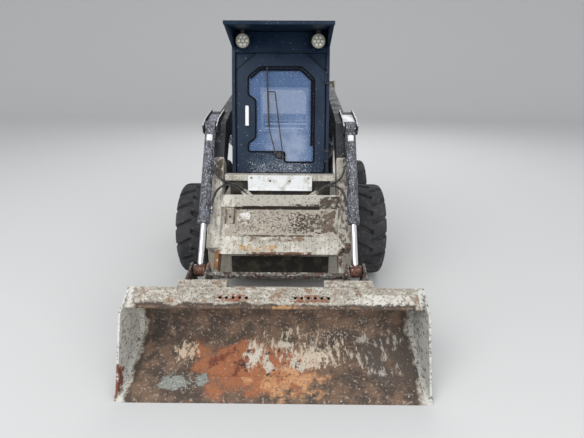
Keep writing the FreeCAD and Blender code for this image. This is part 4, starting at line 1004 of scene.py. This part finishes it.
@dataclass
class Chassis:
    """The lower frame, the towers, the engine bay and the rear posts.

    Attributes:
        bolt: The radius and height of the sill plate's bolt heads.
        bolt_places: Their places across, and below the plate's top.
        bolt_depth: How far behind the plate's front they start.
    """

    bolt: tuple[float, float] = (0.006, 0.006)
    bolt_places: Outline = ((-0.205, 0.018), (0.205, 0.018), (-0.07, 0.040), (0.07, 0.040))
    bolt_depth: float = 0.0135

    def dress(self) -> None:
        """Shows the solids with worn paint and rounded edges."""
        for node in ("main_frame", "towers", "bay_sides", "rear_bumper"):
            dressed(node, FRAME_PAINT, bevel=0.004)
        # The front panel is painted near black, painted shade for the deep shadow under the crossmember.
        dressed("front_panel", UNDERSIDE_PAINTED_SHADE, bevel=0.003)
        dressed("front_sill", CREAM_PAINT, bevel=0.004)
        dressed("sill_plate", WHITE_PLATE, bevel=0.0015)
        dressed("engine_cover", BLACK_PAINT, bevel=0.003)
        dressed("engine_block", IRON, bevel=0.02)
        dressed("axles", WORN_STEEL, bevel=0.002)

    def bolts(self) -> None:
        """Bolt heads on the sill plate: two at its ends and two nearer the middle, lower down."""
        low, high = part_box("sill_plate")
        spots = [(across, low.y + self.bolt_depth, high.z - below) for across, below in self.bolt_places]
        build("sill_plate_bolts", copies(bolt(*self.bolt, 1, -1.0), spots), WORN_STEEL, "machine")

    def make(self) -> None:
        """Builds the whole sub-assembly."""
        self.dress()
        self.bolts()


@dataclass
class Cab:
    """The cab with its door, glass, lamps and seat.

    Attributes:
        lean: How far the front leans back, in degrees.
        foot: The front's foot, the origin of its own frame.
        seal: The radius of the rubber bead round the door's glass.
        glass_corners: The door's pane as (across, up the door), as are the next two.
        leaf_corners: The door's leaf.
        reveal_corners: The step beside the pane, along its outer edge.
        reveal_inner: The same step along its inner edge.
        lamp: A work lamp's distance from the middle and its height.
        lamp_radius: The lamp's outer radius.
        dome_ring: The radius of the ring of small domes in it.
        pane_corner: The rear window's corner radius inside its rubber.
    """

    lean: float = 15.4
    foot: Point = (0.0, -0.420, 0.940)
    seal: float = 0.006
    glass_corners: Outline = (
        (-0.237, 0.190), (0.031, 0.190), (0.031, 0.115), (0.246, 0.115), (0.246, 0.715), (0.154, 0.800),
        (-0.152, 0.800), (-0.237, 0.730), (-0.237, 0.600), (-0.182, 0.565), (-0.182, 0.290),
        (-0.237, 0.255))
    leaf_corners: Outline = (
        (-0.276, 0.037), (0.304, 0.041), (0.3285, 0.075), (0.3285, 0.772), (0.181, 0.9085),
        (-0.156, 0.9085), (-0.316, 0.783), (-0.316, 0.085))
    reveal_corners: Outline = (
        (-0.226, 0.722), (-0.149, 0.789), (0.150, 0.789), (0.236, 0.709), (0.236, 0.235))
    reveal_inner: Outline = (
        (-0.213, 0.716), (-0.145, 0.773), (0.143, 0.773), (0.220, 0.702), (0.220, 0.235))
    lamp: tuple[float, float] = (0.267, 1.883)
    lamp_radius: float = 0.051
    dome_ring: float = 0.027
    pane_corner: float = 0.070

    def leaning(self, form: Form) -> Form:
        """A form in the front's own frame (Y behind the door's face, Z up the door), put into place."""
        return form.placed(turn_about_x(-self.lean), self.foot)

    def dress(self) -> None:
        """Shows the solids with dark paint, glass and rounded edges."""
        for node in ("cab_sides", "cab_roof", "cab_back", "cab_front", "cab_floor"):
            dressed(node, CAB_PAINT, bevel=0.004)
        dressed("door_panel", CAB_PAINT, bevel=0.005)
        dressed("door_hinges", BLACK_PAINT, bevel=0.001)
        dressed("door_glass", DOOR_GLASS, bevel=0.0)
        dressed("side_glass", PANE, bevel=0.0)
        dressed("rear_glass", PANE, bevel=0.0)
        dressed("door_handle", HANDLE, bevel=0.005)
        dressed("seat_base", BLACK_PAINT, bevel=0.006)
        dressed("seat_cushion", VINYL, bevel=0.03)
        dressed("seat_backrest", VINYL, bevel=0.03)
        dressed("levers", PLASTIC, bevel=0.004)
        dressed("lap_bar", BLACK_PAINT, bevel=0.003)
        dressed("work_lamps", PLASTIC, bevel=0.004)

    def lamp_faces(self) -> None:
        """Each work lamp's bezel and lens, with a ring of six small domes round a seventh."""
        across, height = self.lamp
        centre = np.array([across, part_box("work_lamps")[0].y, height])
        rim, lens = self.lamp_radius, self.lamp_radius - 0.005
        bezel = turned([(0.010, rim - 0.004), (-0.003, rim - 0.001), (-0.003, lens),
                        (0.006, rim - 0.006)], 40, 1)
        plate = turned([(0.006, lens), (-0.0012, lens)], 40, 1)
        dome = turned([(0.001, 0.0115), (-0.0030, 0.0105), (-0.0048, 0.007), (-0.0055, 0.003)], 16, 1)
        cup = turned([(0.001, 0.0142), (-0.0022, 0.0142), (-0.0022, 0.0122), (0.001, 0.0122)], 20, 1)
        ring = np.insert(circle(self.dome_ring, 6), 1, 0.0, axis=1)
        spots = np.concatenate([ring, np.zeros((1, 3))])
        for name, form, finish in (("bezels", bezel, PLASTIC), ("lenses", plate, LAMP_GLASS),
                                   ("domes", copies(dome, spots), LAMP_DOME),
                                   ("cups", copies(cup, spots), GREY_PLATE)):
            build("lamp_" + name, both(form.placed(at=centre)), finish, "machine")

    def door_seal(self) -> None:
        """The rubber bead round the door's glass: a half-round carried round the pane's corners."""
        path = self.rounded(np.array(self.glass_corners), 0.018)
        ahead = np.roll(path, -1, axis=0) - np.roll(path, 1, axis=0)
        ahead /= np.linalg.norm(ahead, axis=1, keepdims=True)
        outward = np.stack([ahead[:, 1], -ahead[:, 0]], axis=1)
        angle = np.linspace(0.0, 2.0 * math.pi, 10, endpoint=False)
        across = self.seal * np.cos(angle)
        rings = np.empty((len(path), len(angle), 3))
        rings[:, :, 0] = path[:, :1] + outward[:, :1] * across
        rings[:, :, 2] = path[:, 1:] + outward[:, 1:] * across
        rings[:, :, 1] = -0.0045 * np.sin(angle) - 0.0005
        build("door_seal", self.leaning(surface(rings, True, True)), SEAL_AND_SHADE, "cab_door")

    @staticmethod
    def rounded(corners: Array, radius: float, steps: int = 6) -> Array:
        """A closed outline with its corners replaced by quadratic curves between points one radius away.

        Args:
            corners: The corner points.
            radius: The distance from a corner at which its curve starts.
            steps: The number of points on each curve.

        Returns:
            The outline's points.
        """
        before, after = np.roll(corners, 1, axis=0) - corners, np.roll(corners, -1, axis=0) - corners
        start = corners + radius * before / np.linalg.norm(before, axis=1, keepdims=True)
        end = corners + radius * after / np.linalg.norm(after, axis=1, keepdims=True)
        step = np.linspace(0.0, 1.0, steps)[None, :, None]
        curve = ((1 - step) ** 2 * start[:, None] + 2 * step * (1 - step) * corners[:, None]
                 + step ** 2 * end[:, None])
        return curve.reshape(-1, 2)

    def wiper(self) -> None:
        """The wiper: a motor boss under the glass, two thin arms and an upright blade."""
        motor, first, second = (-0.010, 0.165), (-0.036, 0.182), (0.020, 0.150)
        knee, top, link = (-0.080, 0.345), (-0.0885, 0.618), (-0.040, 0.618)
        parts = [turned([(-0.024, 0.020), (0.0, 0.027)], 24, 1).placed(at=(motor[0], 0.0, motor[1]))]
        parts += [turned([(-0.031, 0.0095), (0.0, 0.012)], 20, 1).placed(at=(spot[0], 0.0, spot[1]))
                  for spot in (first, second)]
        for line, depth in (((first, knee, top), -0.026), ((second, link), -0.020), ((top, link), -0.022)):
            path = np.array([(across, depth, height) for across, height in line])
            parts.append(swept(path, circle(0.0040, 8), (0.0, 1.0, 0.0)))
        blade = np.linspace((-0.0865, -0.012, 0.371), (-0.0985, -0.012, 0.795), 7)
        parts.append(swept(blade, circle(0.0052, 8), (0.0, 1.0, 0.0)))
        build("door_wiper", self.leaning(joined(parts)), PLASTIC, "cab_door")

    def leaf_seam(self) -> None:
        """The dark joint round the door's leaf, with its upper corners cut off: a flat bead on the face."""
        corners = np.array(self.leaf_corners)
        inner = self.rounded(corners, 0.016)
        outer = self.rounded(corners * (1.012, 1.0) + (0.0, 0.002), 0.016)
        behind, proud = 0.001, -0.0012
        rings = band(((inner, behind), (inner, proud), (outer, proud), (outer, behind)))
        build("door_leaf_seam", self.leaning(surface(rings, True, True)), SEAL_AND_SHADE, "cab_door")

    def reveal(self) -> None:
        """A black band round the glass's top and right: painted shade on the step where the pane is deeper
        than the door's skin.
        """
        outer, inner = np.array(self.reveal_corners), np.array(self.reveal_inner)
        behind, proud = 0.003, -0.0008
        rings = band(((outer, behind), (outer, proud), (inner, proud), (inner, behind)))
        build("door_reveal", self.leaning(capped(rings)), SEAL_AND_SHADE, "cab_door")

    def rear_window_rim(self) -> None:
        """The pale rubber round the rear window, square outside and rounded inside."""
        low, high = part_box("rear_glass")
        middle = np.array([(low.x + high.x) / 2, (low.z + high.z) / 2])
        half = np.array([(high.x - low.x) / 2, (high.z - low.z) / 2])
        signs = np.array([(-1, -1), (1, -1), (1, 1), (-1, 1)], float)
        outer = self.rounded(middle + signs * (half + 0.012), 0.010)
        inner = self.rounded(middle + signs * (half - 0.010), self.pane_corner)
        near, far = low.y - 0.0165, low.y - 0.0135
        rings = band(((outer, far), (outer, near), (inner, near), (inner, far)))
        build("rear_window_rim", surface(rings, True, True), RIM_RUBBER, "machine")

    def make(self) -> None:
        """Builds the whole sub-assembly."""
        self.dress()
        self.rear_window_rim()
        self.lamp_faces()
        self.door_seal()
        self.leaf_seam()
        self.reveal()
        self.wiper()


@dataclass
class Wheel:
    """One wheel: a worn tyre with slanted bars, and its bolted rim.

    Attributes:
        corner: The wheel's name, such as front_left.
        side: The side that it is on.
        bars: The number of bars on each side of the tread.
        bar_share: The share of the tread that the bars take.
        bar_height: The height of the bars, in metres.
        bar_wall: The share of a bar's pitch over which its walls rise.
        offset: How far the bars of one side lie behind those of the other, in pitches.
        slant: How far a bar runs back from the middle to the shoulder, in pitches.
        around: The points round the axle for one bar.
        section_points: The points across the section.
        nuts: The number of wheel nuts.
        nut_circle: The radius of the circle that they stand on.
    """

    corner: str
    side: Side
    bars: int = 16
    bar_share: float = 0.78
    bar_height: float = 0.024
    bar_wall: float = 0.10
    offset: float = 0.25
    slant: float = 0.42
    around: int = 26
    section_points: int = 97
    nuts: int = 8
    nut_circle: float = 0.058

    def section(self, half: float, tread: float) -> tuple[Array, Array]:
        """The tyre's section from bead to bead: (across, out) points, evened out three times over.

        Each pass gives a point a quarter of each neighbour and half of itself.

        Args:
            half: Half of the tyre's width.
            tread: The radius of the tread between the bars.

        Returns:
            The ways across and the ways out from the axle.
        """
        profile = np.array([
            (-half + 0.036, 0.2125), (-half + 0.030, 0.2225), (-half + 0.016, 0.240),
            (-half + 0.005, 0.272), (-half + 0.004, 0.300), (-half + 0.012, 0.330),
            (-half + 0.024, tread - 0.010), (-half + 0.046, tread), (0.0, tread + 0.001)])
        profile = np.concatenate([profile, (profile * (-1, 1))[-2::-1]])
        way, fine = np.linspace(0.0, 1.0, len(profile)), np.linspace(0.0, 1.0, self.section_points)
        points = np.stack([np.interp(fine, way, profile[:, 0]), np.interp(fine, way, profile[:, 1])])
        for _ in range(3):
            points[:, 1:-1] = (points[:, :-2] + 2 * points[:, 1:-1] + points[:, 2:]) / 4
        return points[0], points[1]

    def tyre(self) -> None:
        """The tyre as one surface of two parameters: the angle round the axle and the way across.

        The section runs through the bead, the side wall, the shoulder and the tread. Over the tread the
        radius grows by the bar height where the angle, shifted by the distance from the middle, lies
        within a bar, with steep smooth walls.
        """
        low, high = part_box(self.corner + "_tyre")
        centre = (np.array(low) + np.array(high)) / 2
        radius, half = (high.z - low.z) / 2, (high.x - low.x) / 2
        tread = radius - self.bar_height
        across, out = self.section(half, tread)
        angle = np.linspace(0.0, 2.0 * math.pi, self.bars * self.around, endpoint=False)[:, None]
        shoulder = np.clip((out - (tread - 0.060)) / 0.030, 0.0, 1.0)[None]
        sign = np.where(across >= 0, 1.0, -1.0)[None]
        reach = np.abs(across)[None] / half
        turn = self.side.value * (angle * self.bars / (2 * math.pi))
        turn = turn + self.offset * sign + self.slant * reach
        place = np.abs((turn % 1.0) - 0.5) * 2
        bar = self.smooth((self.bar_share - place) / self.bar_wall + 0.5)
        inner = self.smooth((reach + 0.06) / 0.05)
        lift = self.bar_height * 0.985 * bar * inner * shoulder
        far = np.maximum(out[None] + lift * np.clip((out - tread + 0.070) / 0.060, 0, 1)[None], 0.2)
        far = np.minimum(far, radius - 0.0005)
        side = across[None] + sign * lift * 0.25 * (1 - np.clip((out - tread + 0.02) / 0.02, 0, 1))[None]
        side = np.clip(side, -half + 0.001, half - 0.001)
        points = np.stack([side + centre[0] + 0 * far, centre[1] + far * np.sin(angle),
                           centre[2] - far * np.cos(angle)], axis=2)
        form = surface(points, True, True)
        tyre = build(self.corner + "_worn_tyre", form, RUBBER, self.corner + "_wheel", 40.0)
        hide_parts(self.corner + "_tyre")

    @staticmethod
    def smooth(value: Array) -> Array:
        """Rises smoothly from 0 at 0 to 1 at 1."""
        value = np.clip(value, 0.0, 1.0)
        return value * value * (3 - 2 * value)

    def rim(self) -> None:
        """The rim, its nuts in a circle and the cap over the hub."""
        dressed(self.corner + "_rim", RIM_PAINT, bevel=0.002)
        low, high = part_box(self.corner + "_rim")
        out = self.side.value
        centre = (np.array(low) + np.array(high)) / 2 + (0.050 * out, 0.0, 0.0)
        angle = np.linspace(0.0, 2.0 * math.pi, self.nuts, endpoint=False) + math.pi / self.nuts
        ring = np.stack([np.zeros(self.nuts), np.cos(angle), np.sin(angle)], axis=1)
        nuts = copies(bolt(0.011, 0.016, 0, out), centre + self.nut_circle * ring)
        cap = turned([(0.0, 0.036), (0.018 * out, 0.035), (0.024 * out, 0.028)], 28, 0)
        form = joined([nuts, cap.placed(at=centre)])
        build(self.corner + "_nuts", form, WORN_STEEL, self.corner + "_wheel")

    def make(self) -> None:
        """Builds the whole wheel."""
        self.tyre()
        self.rim()


@dataclass
class Arms:
    """The lift arms, the knee brackets and the four cylinders.

    Attributes:
        brackets: The places across of a knee's two bracket plates.
        bracket_top: The (Y, Z) line along their tops.
        cover: The (Y, Z) outline of the cover between them.
        cover_span: Its inner and outer place across.
        tag_across: The place across of a tilt cylinder's middle.
        tag_radii: The tag's outer and inner radius.
        tag_span: Its top and bottom, up the arm from the knee.
        bracket: The inner and outer place across of the bracket in the recess, and its flanges' thickness.
        weld: The crossmember's weld bead as radius, ripple and waves.
    """

    brackets: tuple[float, float] = (0.459, 0.557)
    bracket_top: Outline = ((-0.381, 1.3135), (-0.288, 1.3525), (-0.015, 1.3922))
    cover: Outline = ((-0.262, 1.3268), (-0.105, 1.3594), (-0.105, 1.3622), (-0.262, 1.3296))
    cover_span: tuple[float, float] = (0.467, 0.549)
    tag_across: float = 0.508
    tag_radii: tuple[float, float] = (0.0389, 0.0379)
    tag_span: tuple[float, float] = (-0.085, -0.133)
    bracket: Point = (-0.378, -0.318, 0.006)
    weld: Point = (0.0045, 0.0009, 900.0)

    def dress(self) -> None:
        """Shows the solids: dark beams behind, pale legs in front, black barrels and bright rods."""
        dressed("arm_beams", BLACK_PAINT, bevel=0.005)
        dressed("knee_brackets", BLACK_PAINT, bevel=0.002)
        dressed("arm_legs", CREAM_PAINT, bevel=0.005)
        dressed("arm_crossmember", CREAM_PAINT, bevel=0.004)
        for side in ("left", "right"):
            for kind in ("lift", "tilt"):
                dressed(f"{side}_{kind}_barrel", BARREL_PAINT, bevel=0.002)
                dressed(f"{side}_{kind}_rod", CHROME, bevel=0.001)

    @staticmethod
    def on_slope(form: Form) -> Form:
        """A form in the arm's own frame (Y behind, Z up the arm, from the knee's pin), put into place."""
        return form.placed(turn_about_x(-ARM_SLOPE), (0.0, *KNEE))

    def knees(self) -> None:
        """Pale strips on top of the knee brackets, worn bare edges that are also painted highlights, and a
        flat cover between each pair.
        """
        line = np.array(self.bracket_top)
        thick = np.array([(-0.0044, -0.0006), (0.0044, -0.0006), (0.0044, 0.0009), (-0.0044, 0.0009)])
        strips = joined([swept(np.insert(line, 0, across, axis=1), thick) for across in self.brackets])
        build("knee_edges", both(strips), BRIGHT_EDGE, "arms")
        cover = slab(self.cover, *self.cover_span)
        build("left_knee_cover", cover, WHITE_PLATE, "arms")
        build("right_knee_cover", cover.mirrored(), GREY_PLATE, "arms")

    def tags(self) -> None:
        """A small blank tag round the front of each tilt barrel: two arcs of a circle, joined."""
        (front, back), (top, bottom) = self.tag_radii, self.tag_span
        turn = np.linspace(-0.62, 0.45, 12)
        arc = np.stack([np.sin(turn), -np.cos(turn), np.zeros(12)], axis=1)
        arcs = [arc * radius + (self.tag_across, 0.0, height)
                for radius, height in ((front, top), (front, bottom), (back, bottom), (back, top))]
        build("barrel_tags", both(self.on_slope(capped(np.stack(arcs, axis=1)))), WHITE_PLATE, "arms")

    def recess_bracket(self) -> None:
        """A pale angle bracket in the crossmember's recess: a back plate between two flanges."""
        outer, inner, thick = self.bracket
        front, face, rear = 0.058, 0.083, 0.089
        plate = brick((outer + thick, face, -0.712), (inner, rear, -0.616))
        flanges = joined([brick((start, front, -0.716), (start + thick, rear, -0.612))
                          for start in (outer, inner)])
        head = bolt(0.007, 0.006, 1, -1.0).placed(at=(-0.345, face, -0.664))
        build("recess_bracket", self.on_slope(plate), CREAM_PAINT, "arms")
        build("recess_bracket_flanges", self.on_slope(flanges), WORN_STEEL, "arms")
        build("recess_bracket_bolt", self.on_slope(head), WORN_STEEL, "arms")

    def welds(self) -> None:
        """Weld beads where the crossmember meets the legs."""
        form = bead(np.linspace(-0.93, -0.515, 180), (0.410, 0.0605), self.weld, 2)
        build("crossmember_welds", both(self.on_slope(form)), CREAM_PAINT, "arms")

    def make(self) -> None:
        """Builds the whole sub-assembly."""
        self.dress()
        self.knees()
        self.tags()
        self.recess_bracket()
        self.welds()


@dataclass
class Bucket:
    """The bucket, its cutting edge and the quick coupler.

    Attributes:
        brim_lean: How far the brim's face leans forward, in degrees.
        row: The height and depth of the drilled holes' row on the brim.
        pitch: The distance between two holes.
        hole: The holes' radius.
        pin: The radius of the coupler's two pivot pins.
        ease: How much of that radius is left to a pin.
        strips: The start and end of each drilled strip across the brim.
        holes: The first hole's place across and the number of holes in each strip.
        strip_edge: How far a strip's long edges are from the holes' row.
        weld: The strips' weld bead as radius, ripple and waves.
    """

    brim_lean: float = 30.9
    row: tuple[float, float] = (-1.3467, 0.4739)
    pitch: float = 0.038
    hole: float = 0.0093
    pin: float = 0.022
    ease: float = 0.985
    strips: Outline = ((-0.344, -0.134), (0.086, 0.334))
    holes: tuple[tuple[float, int], ...] = ((-0.315, 5), (0.115, 6))
    strip_edge: float = 0.0185
    weld: Point = (0.0032, 0.0008, 1100.0)

    def dress(self) -> None:
        """Shows the solids: a rusty, flaking bucket with a bare edge, and a pale coupler."""
        dressed("bucket", BUCKET_PAINT, bevel=0.004)
        dressed("cutting_edge", BUCKET_PAINT, bevel=0.002)
        self.ease_pins(dressed("coupler", COUPLER_PAINT, bevel=0.003).data)

    def ease_pins(self, mesh: bpy.types.Mesh) -> None:
        """Turns the pivot pins down a little, so that their flat facets turn freely in those of the bores.

        A point a pin's radius away from the pivot's axis moves towards it, to `ease` times its distance.

        Args:
            mesh: The coupler's mesh.
        """
        joints = frame["record"]["behaviour"]["joints"]
        pivot = np.array(next(joint["pos_m"] for joint in joints if joint["name"] == "bucket_tilt"))
        points = np.empty(len(mesh.vertices) * 3)
        mesh.vertices.foreach_get("co", points)
        points = points.reshape(-1, 3)
        offset = (points - pivot) * (0.0, 1.0, 1.0)
        on_pin = abs(np.linalg.norm(offset, axis=1) - self.pin) < 5e-5
        points[on_pin] -= offset[on_pin] * (1.0 - self.ease)
        mesh.vertices.foreach_set("co", points.ravel())

    def soil_and_shade_in_holes(self) -> None:
        """Dark discs in the holes of the two drilled strips, five on one side and six on the other: caked
        soil and painted shade.
        """
        across = np.concatenate([first + self.pitch * np.arange(count) for first, count in self.holes])
        plug = turned([(-0.003, self.hole), (0.0, self.hole), (0.0008, self.hole * 0.6)], 18, 2)
        plug = plug.placed(turn_about_x(self.brim_lean))
        spots = [(place, *self.row) for place in across]
        build("strip_soil", copies(plug, spots), SEAL_AND_SHADE, "bucket_tool")
        patch = plug.placed(at=(0.058, self.row[0] + 0.0028, self.row[1] - 0.0044))
        build("brim_soil", patch, SEAL_AND_SHADE, "bucket_tool")

    def welds(self) -> None:
        """Weld beads along both edges of the two drilled strips."""
        lean = math.radians(self.brim_lean)
        forms = []
        for start, end in self.strips:
            for shift in (-self.strip_edge, self.strip_edge):
                middle = (self.row[0] + shift * math.cos(lean) + 0.0024,
                          self.row[1] + shift * math.sin(lean) - 0.0040)
                forms.append(bead(np.linspace(start, end, 110), middle, self.weld, 0))
        build("strip_welds", joined(forms), STRIP_RUST, "bucket_tool")

    def make(self) -> None:
        """Builds the whole sub-assembly."""
        self.dress()
        self.soil_and_shade_in_holes()
        self.welds()


@dataclass
class Tailgate:
    """The louvred door over the back of the engine, with the width of its rounded edges."""

    rounding: float = 0.005

    def make(self) -> None:
        """Shows the solid in black paint."""
        dressed("tailgate", BLACK_PAINT, bevel=self.rounding)


@dataclass(frozen=True)
class Lamp:
    """A soft square light.

    Attributes:
        name: Its name.
        place: Where it hangs.
        size: The length of its sides, in metres.
        power: Its power, in watts.
    """

    name: str
    place: Point
    size: float
    power: float


@dataclass
class Studio:
    """The floor, the lights and the camera.

    Attributes:
        eye: The camera's place.
        down: How far it looks down, in degrees.
        left: How far it looks to the left, in radians.
        roll: Its roll, in radians.
        focal: The focal length in pixels, on an image of the given width.
        width: The image's width in pixels.
        lamps: The lights.
        aim: The height that the lights point at, over the middle of the machine.
        sky: The sky's colour.
        strengths: Its strength as a light, and as it is seen.
        near: The floor's front edge.
        bend: Where the floor starts to rise.
        radius: The radius of its curve.
        top: The top of the backdrop.
        half: Half of the floor's width.
    """

    eye: Point = (0.111, -3.427, 1.716)
    down: float = 20.1
    left: float = 0.0077
    roll: float = 0.0043
    focal: float = 417.5
    width: float = 584.0
    lamps: tuple[Lamp, ...] = (Lamp("key", (-3.5, -5.5, 6.0), 5.0, 330.0),
                               Lamp("fill", (3.5, -6.5, 2.6), 4.0, 170.0),
                               Lamp("back", (1.0, 6.0, 6.5), 6.0, 260.0))
    aim: float = 0.8
    sky: tuple[float, float, float, float] = (0.93, 0.95, 1.0, 1.0)
    strengths: tuple[float, float] = (0.75, 0.95)
    near: float = -30.0
    bend: float = 11.0
    radius: float = 7.0
    top: float = 34.0
    half: float = 60.0

    def camera(self) -> None:
        """A camera at the photograph's angle."""
        data = bpy.data.cameras.new("camera")
        data.sensor_width = 36.0
        data.lens = self.focal / self.width * 36.0
        data.clip_end = 200.0
        camera = shown("camera", data)
        turn = (Matrix.Rotation(self.left, 4, "Z") @ Matrix.Rotation(math.radians(90 - self.down), 4, "X")
                @ Matrix.Rotation(self.roll, 4, "Z"))
        camera.matrix_world = Matrix.Translation(self.eye) @ turn
        bpy.context.scene.camera = camera

    def light(self, lamp: Lamp) -> None:
        """Hangs a lamp so that it points at the machine."""
        data = bpy.data.lights.new(lamp.name, "AREA")
        data.size = lamp.size
        data.energy = lamp.power
        turn = (Vector((0.0, 0.0, self.aim)) - Vector(lamp.place)).to_track_quat("-Z", "Y")
        shown(lamp.name, data).matrix_world = Matrix.Translation(lamp.place) @ turn.to_matrix().to_4x4()

    def world(self) -> None:
        """Pale light from all round, brighter where the camera sees it, directly or through glass."""
        world = bpy.data.worlds.new("studio")
        bpy.context.scene.world = world
        world.use_nodes = True
        tree = world.node_tree
        tree.nodes.clear()
        path = tree.nodes.new("ShaderNodeLightPath")
        seen = tree.nodes.new("ShaderNodeMath")
        seen.operation = "MAXIMUM"
        tree.links.new(path.outputs["Is Camera Ray"], seen.inputs[0])
        tree.links.new(path.outputs["Is Transmission Ray"], seen.inputs[1])
        mix = tree.nodes.new("ShaderNodeMixShader")
        tree.links.new(seen.outputs[0], mix.inputs[0])
        for socket, strength in zip(mix.inputs[1:], self.strengths):
            shade = tree.nodes.new("ShaderNodeBackground")
            shade.inputs["Color"].default_value = self.sky
            shade.inputs["Strength"].default_value = strength
            tree.links.new(shade.outputs[0], socket)
        output = tree.nodes.new("ShaderNodeOutputWorld")
        tree.links.new(mix.outputs[0], output.inputs["Surface"])

    def floor(self) -> None:
        """A wide pale floor that curves up into a backdrop behind the machine.

        Its outline is level to the bend, then a quarter circle: (bend + r sin a, r - r cos a).
        """
        angle = np.linspace(0.0, math.pi / 2, 24)
        curve = np.stack([self.bend + self.radius * np.sin(angle),
                          self.radius - self.radius * np.cos(angle)], axis=1)
        outline = np.concatenate([[(self.near, 0.0)], curve, [(self.bend + self.radius, self.top)]])
        edges = np.stack([np.insert(outline, 0, side, axis=1) for side in (-self.half, self.half)])
        form = surface(edges)
        mesh = bpy.data.meshes.new("floor")
        mesh.from_pydata(form.points.tolist(), [], form.faces[0][:, ::-1].tolist())
        mesh.shade_smooth()
        mesh.materials.append(FLOOR.material())
        shown("floor", mesh)

    def make(self) -> None:
        """Builds the light and the floor."""
        for lamp in self.lamps:
            self.light(lamp)
        self.world()
        self.floor()
        bpy.context.scene.view_settings.view_transform = "Standard"


def write_sizes() -> None:
    """Brings the view layer up to date."""
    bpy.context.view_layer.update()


def main() -> None:
    """Builds every sub-assembly in order."""
    logging.basicConfig(level=logging.INFO, format="%(message)s")
    write_sizes()
    studio = Studio()
    studio.camera()
    for part in (Hoses(), Chassis(), Cab(), Arms(), Bucket(), Tailgate()):
        part.make()
    for end in ("front", "rear"):
        for side in Side:
            Wheel(f"{end}_{side.name.lower()}", side).make()
    studio.make()
    write_sizes()


if __name__ == "__main__":
    main()
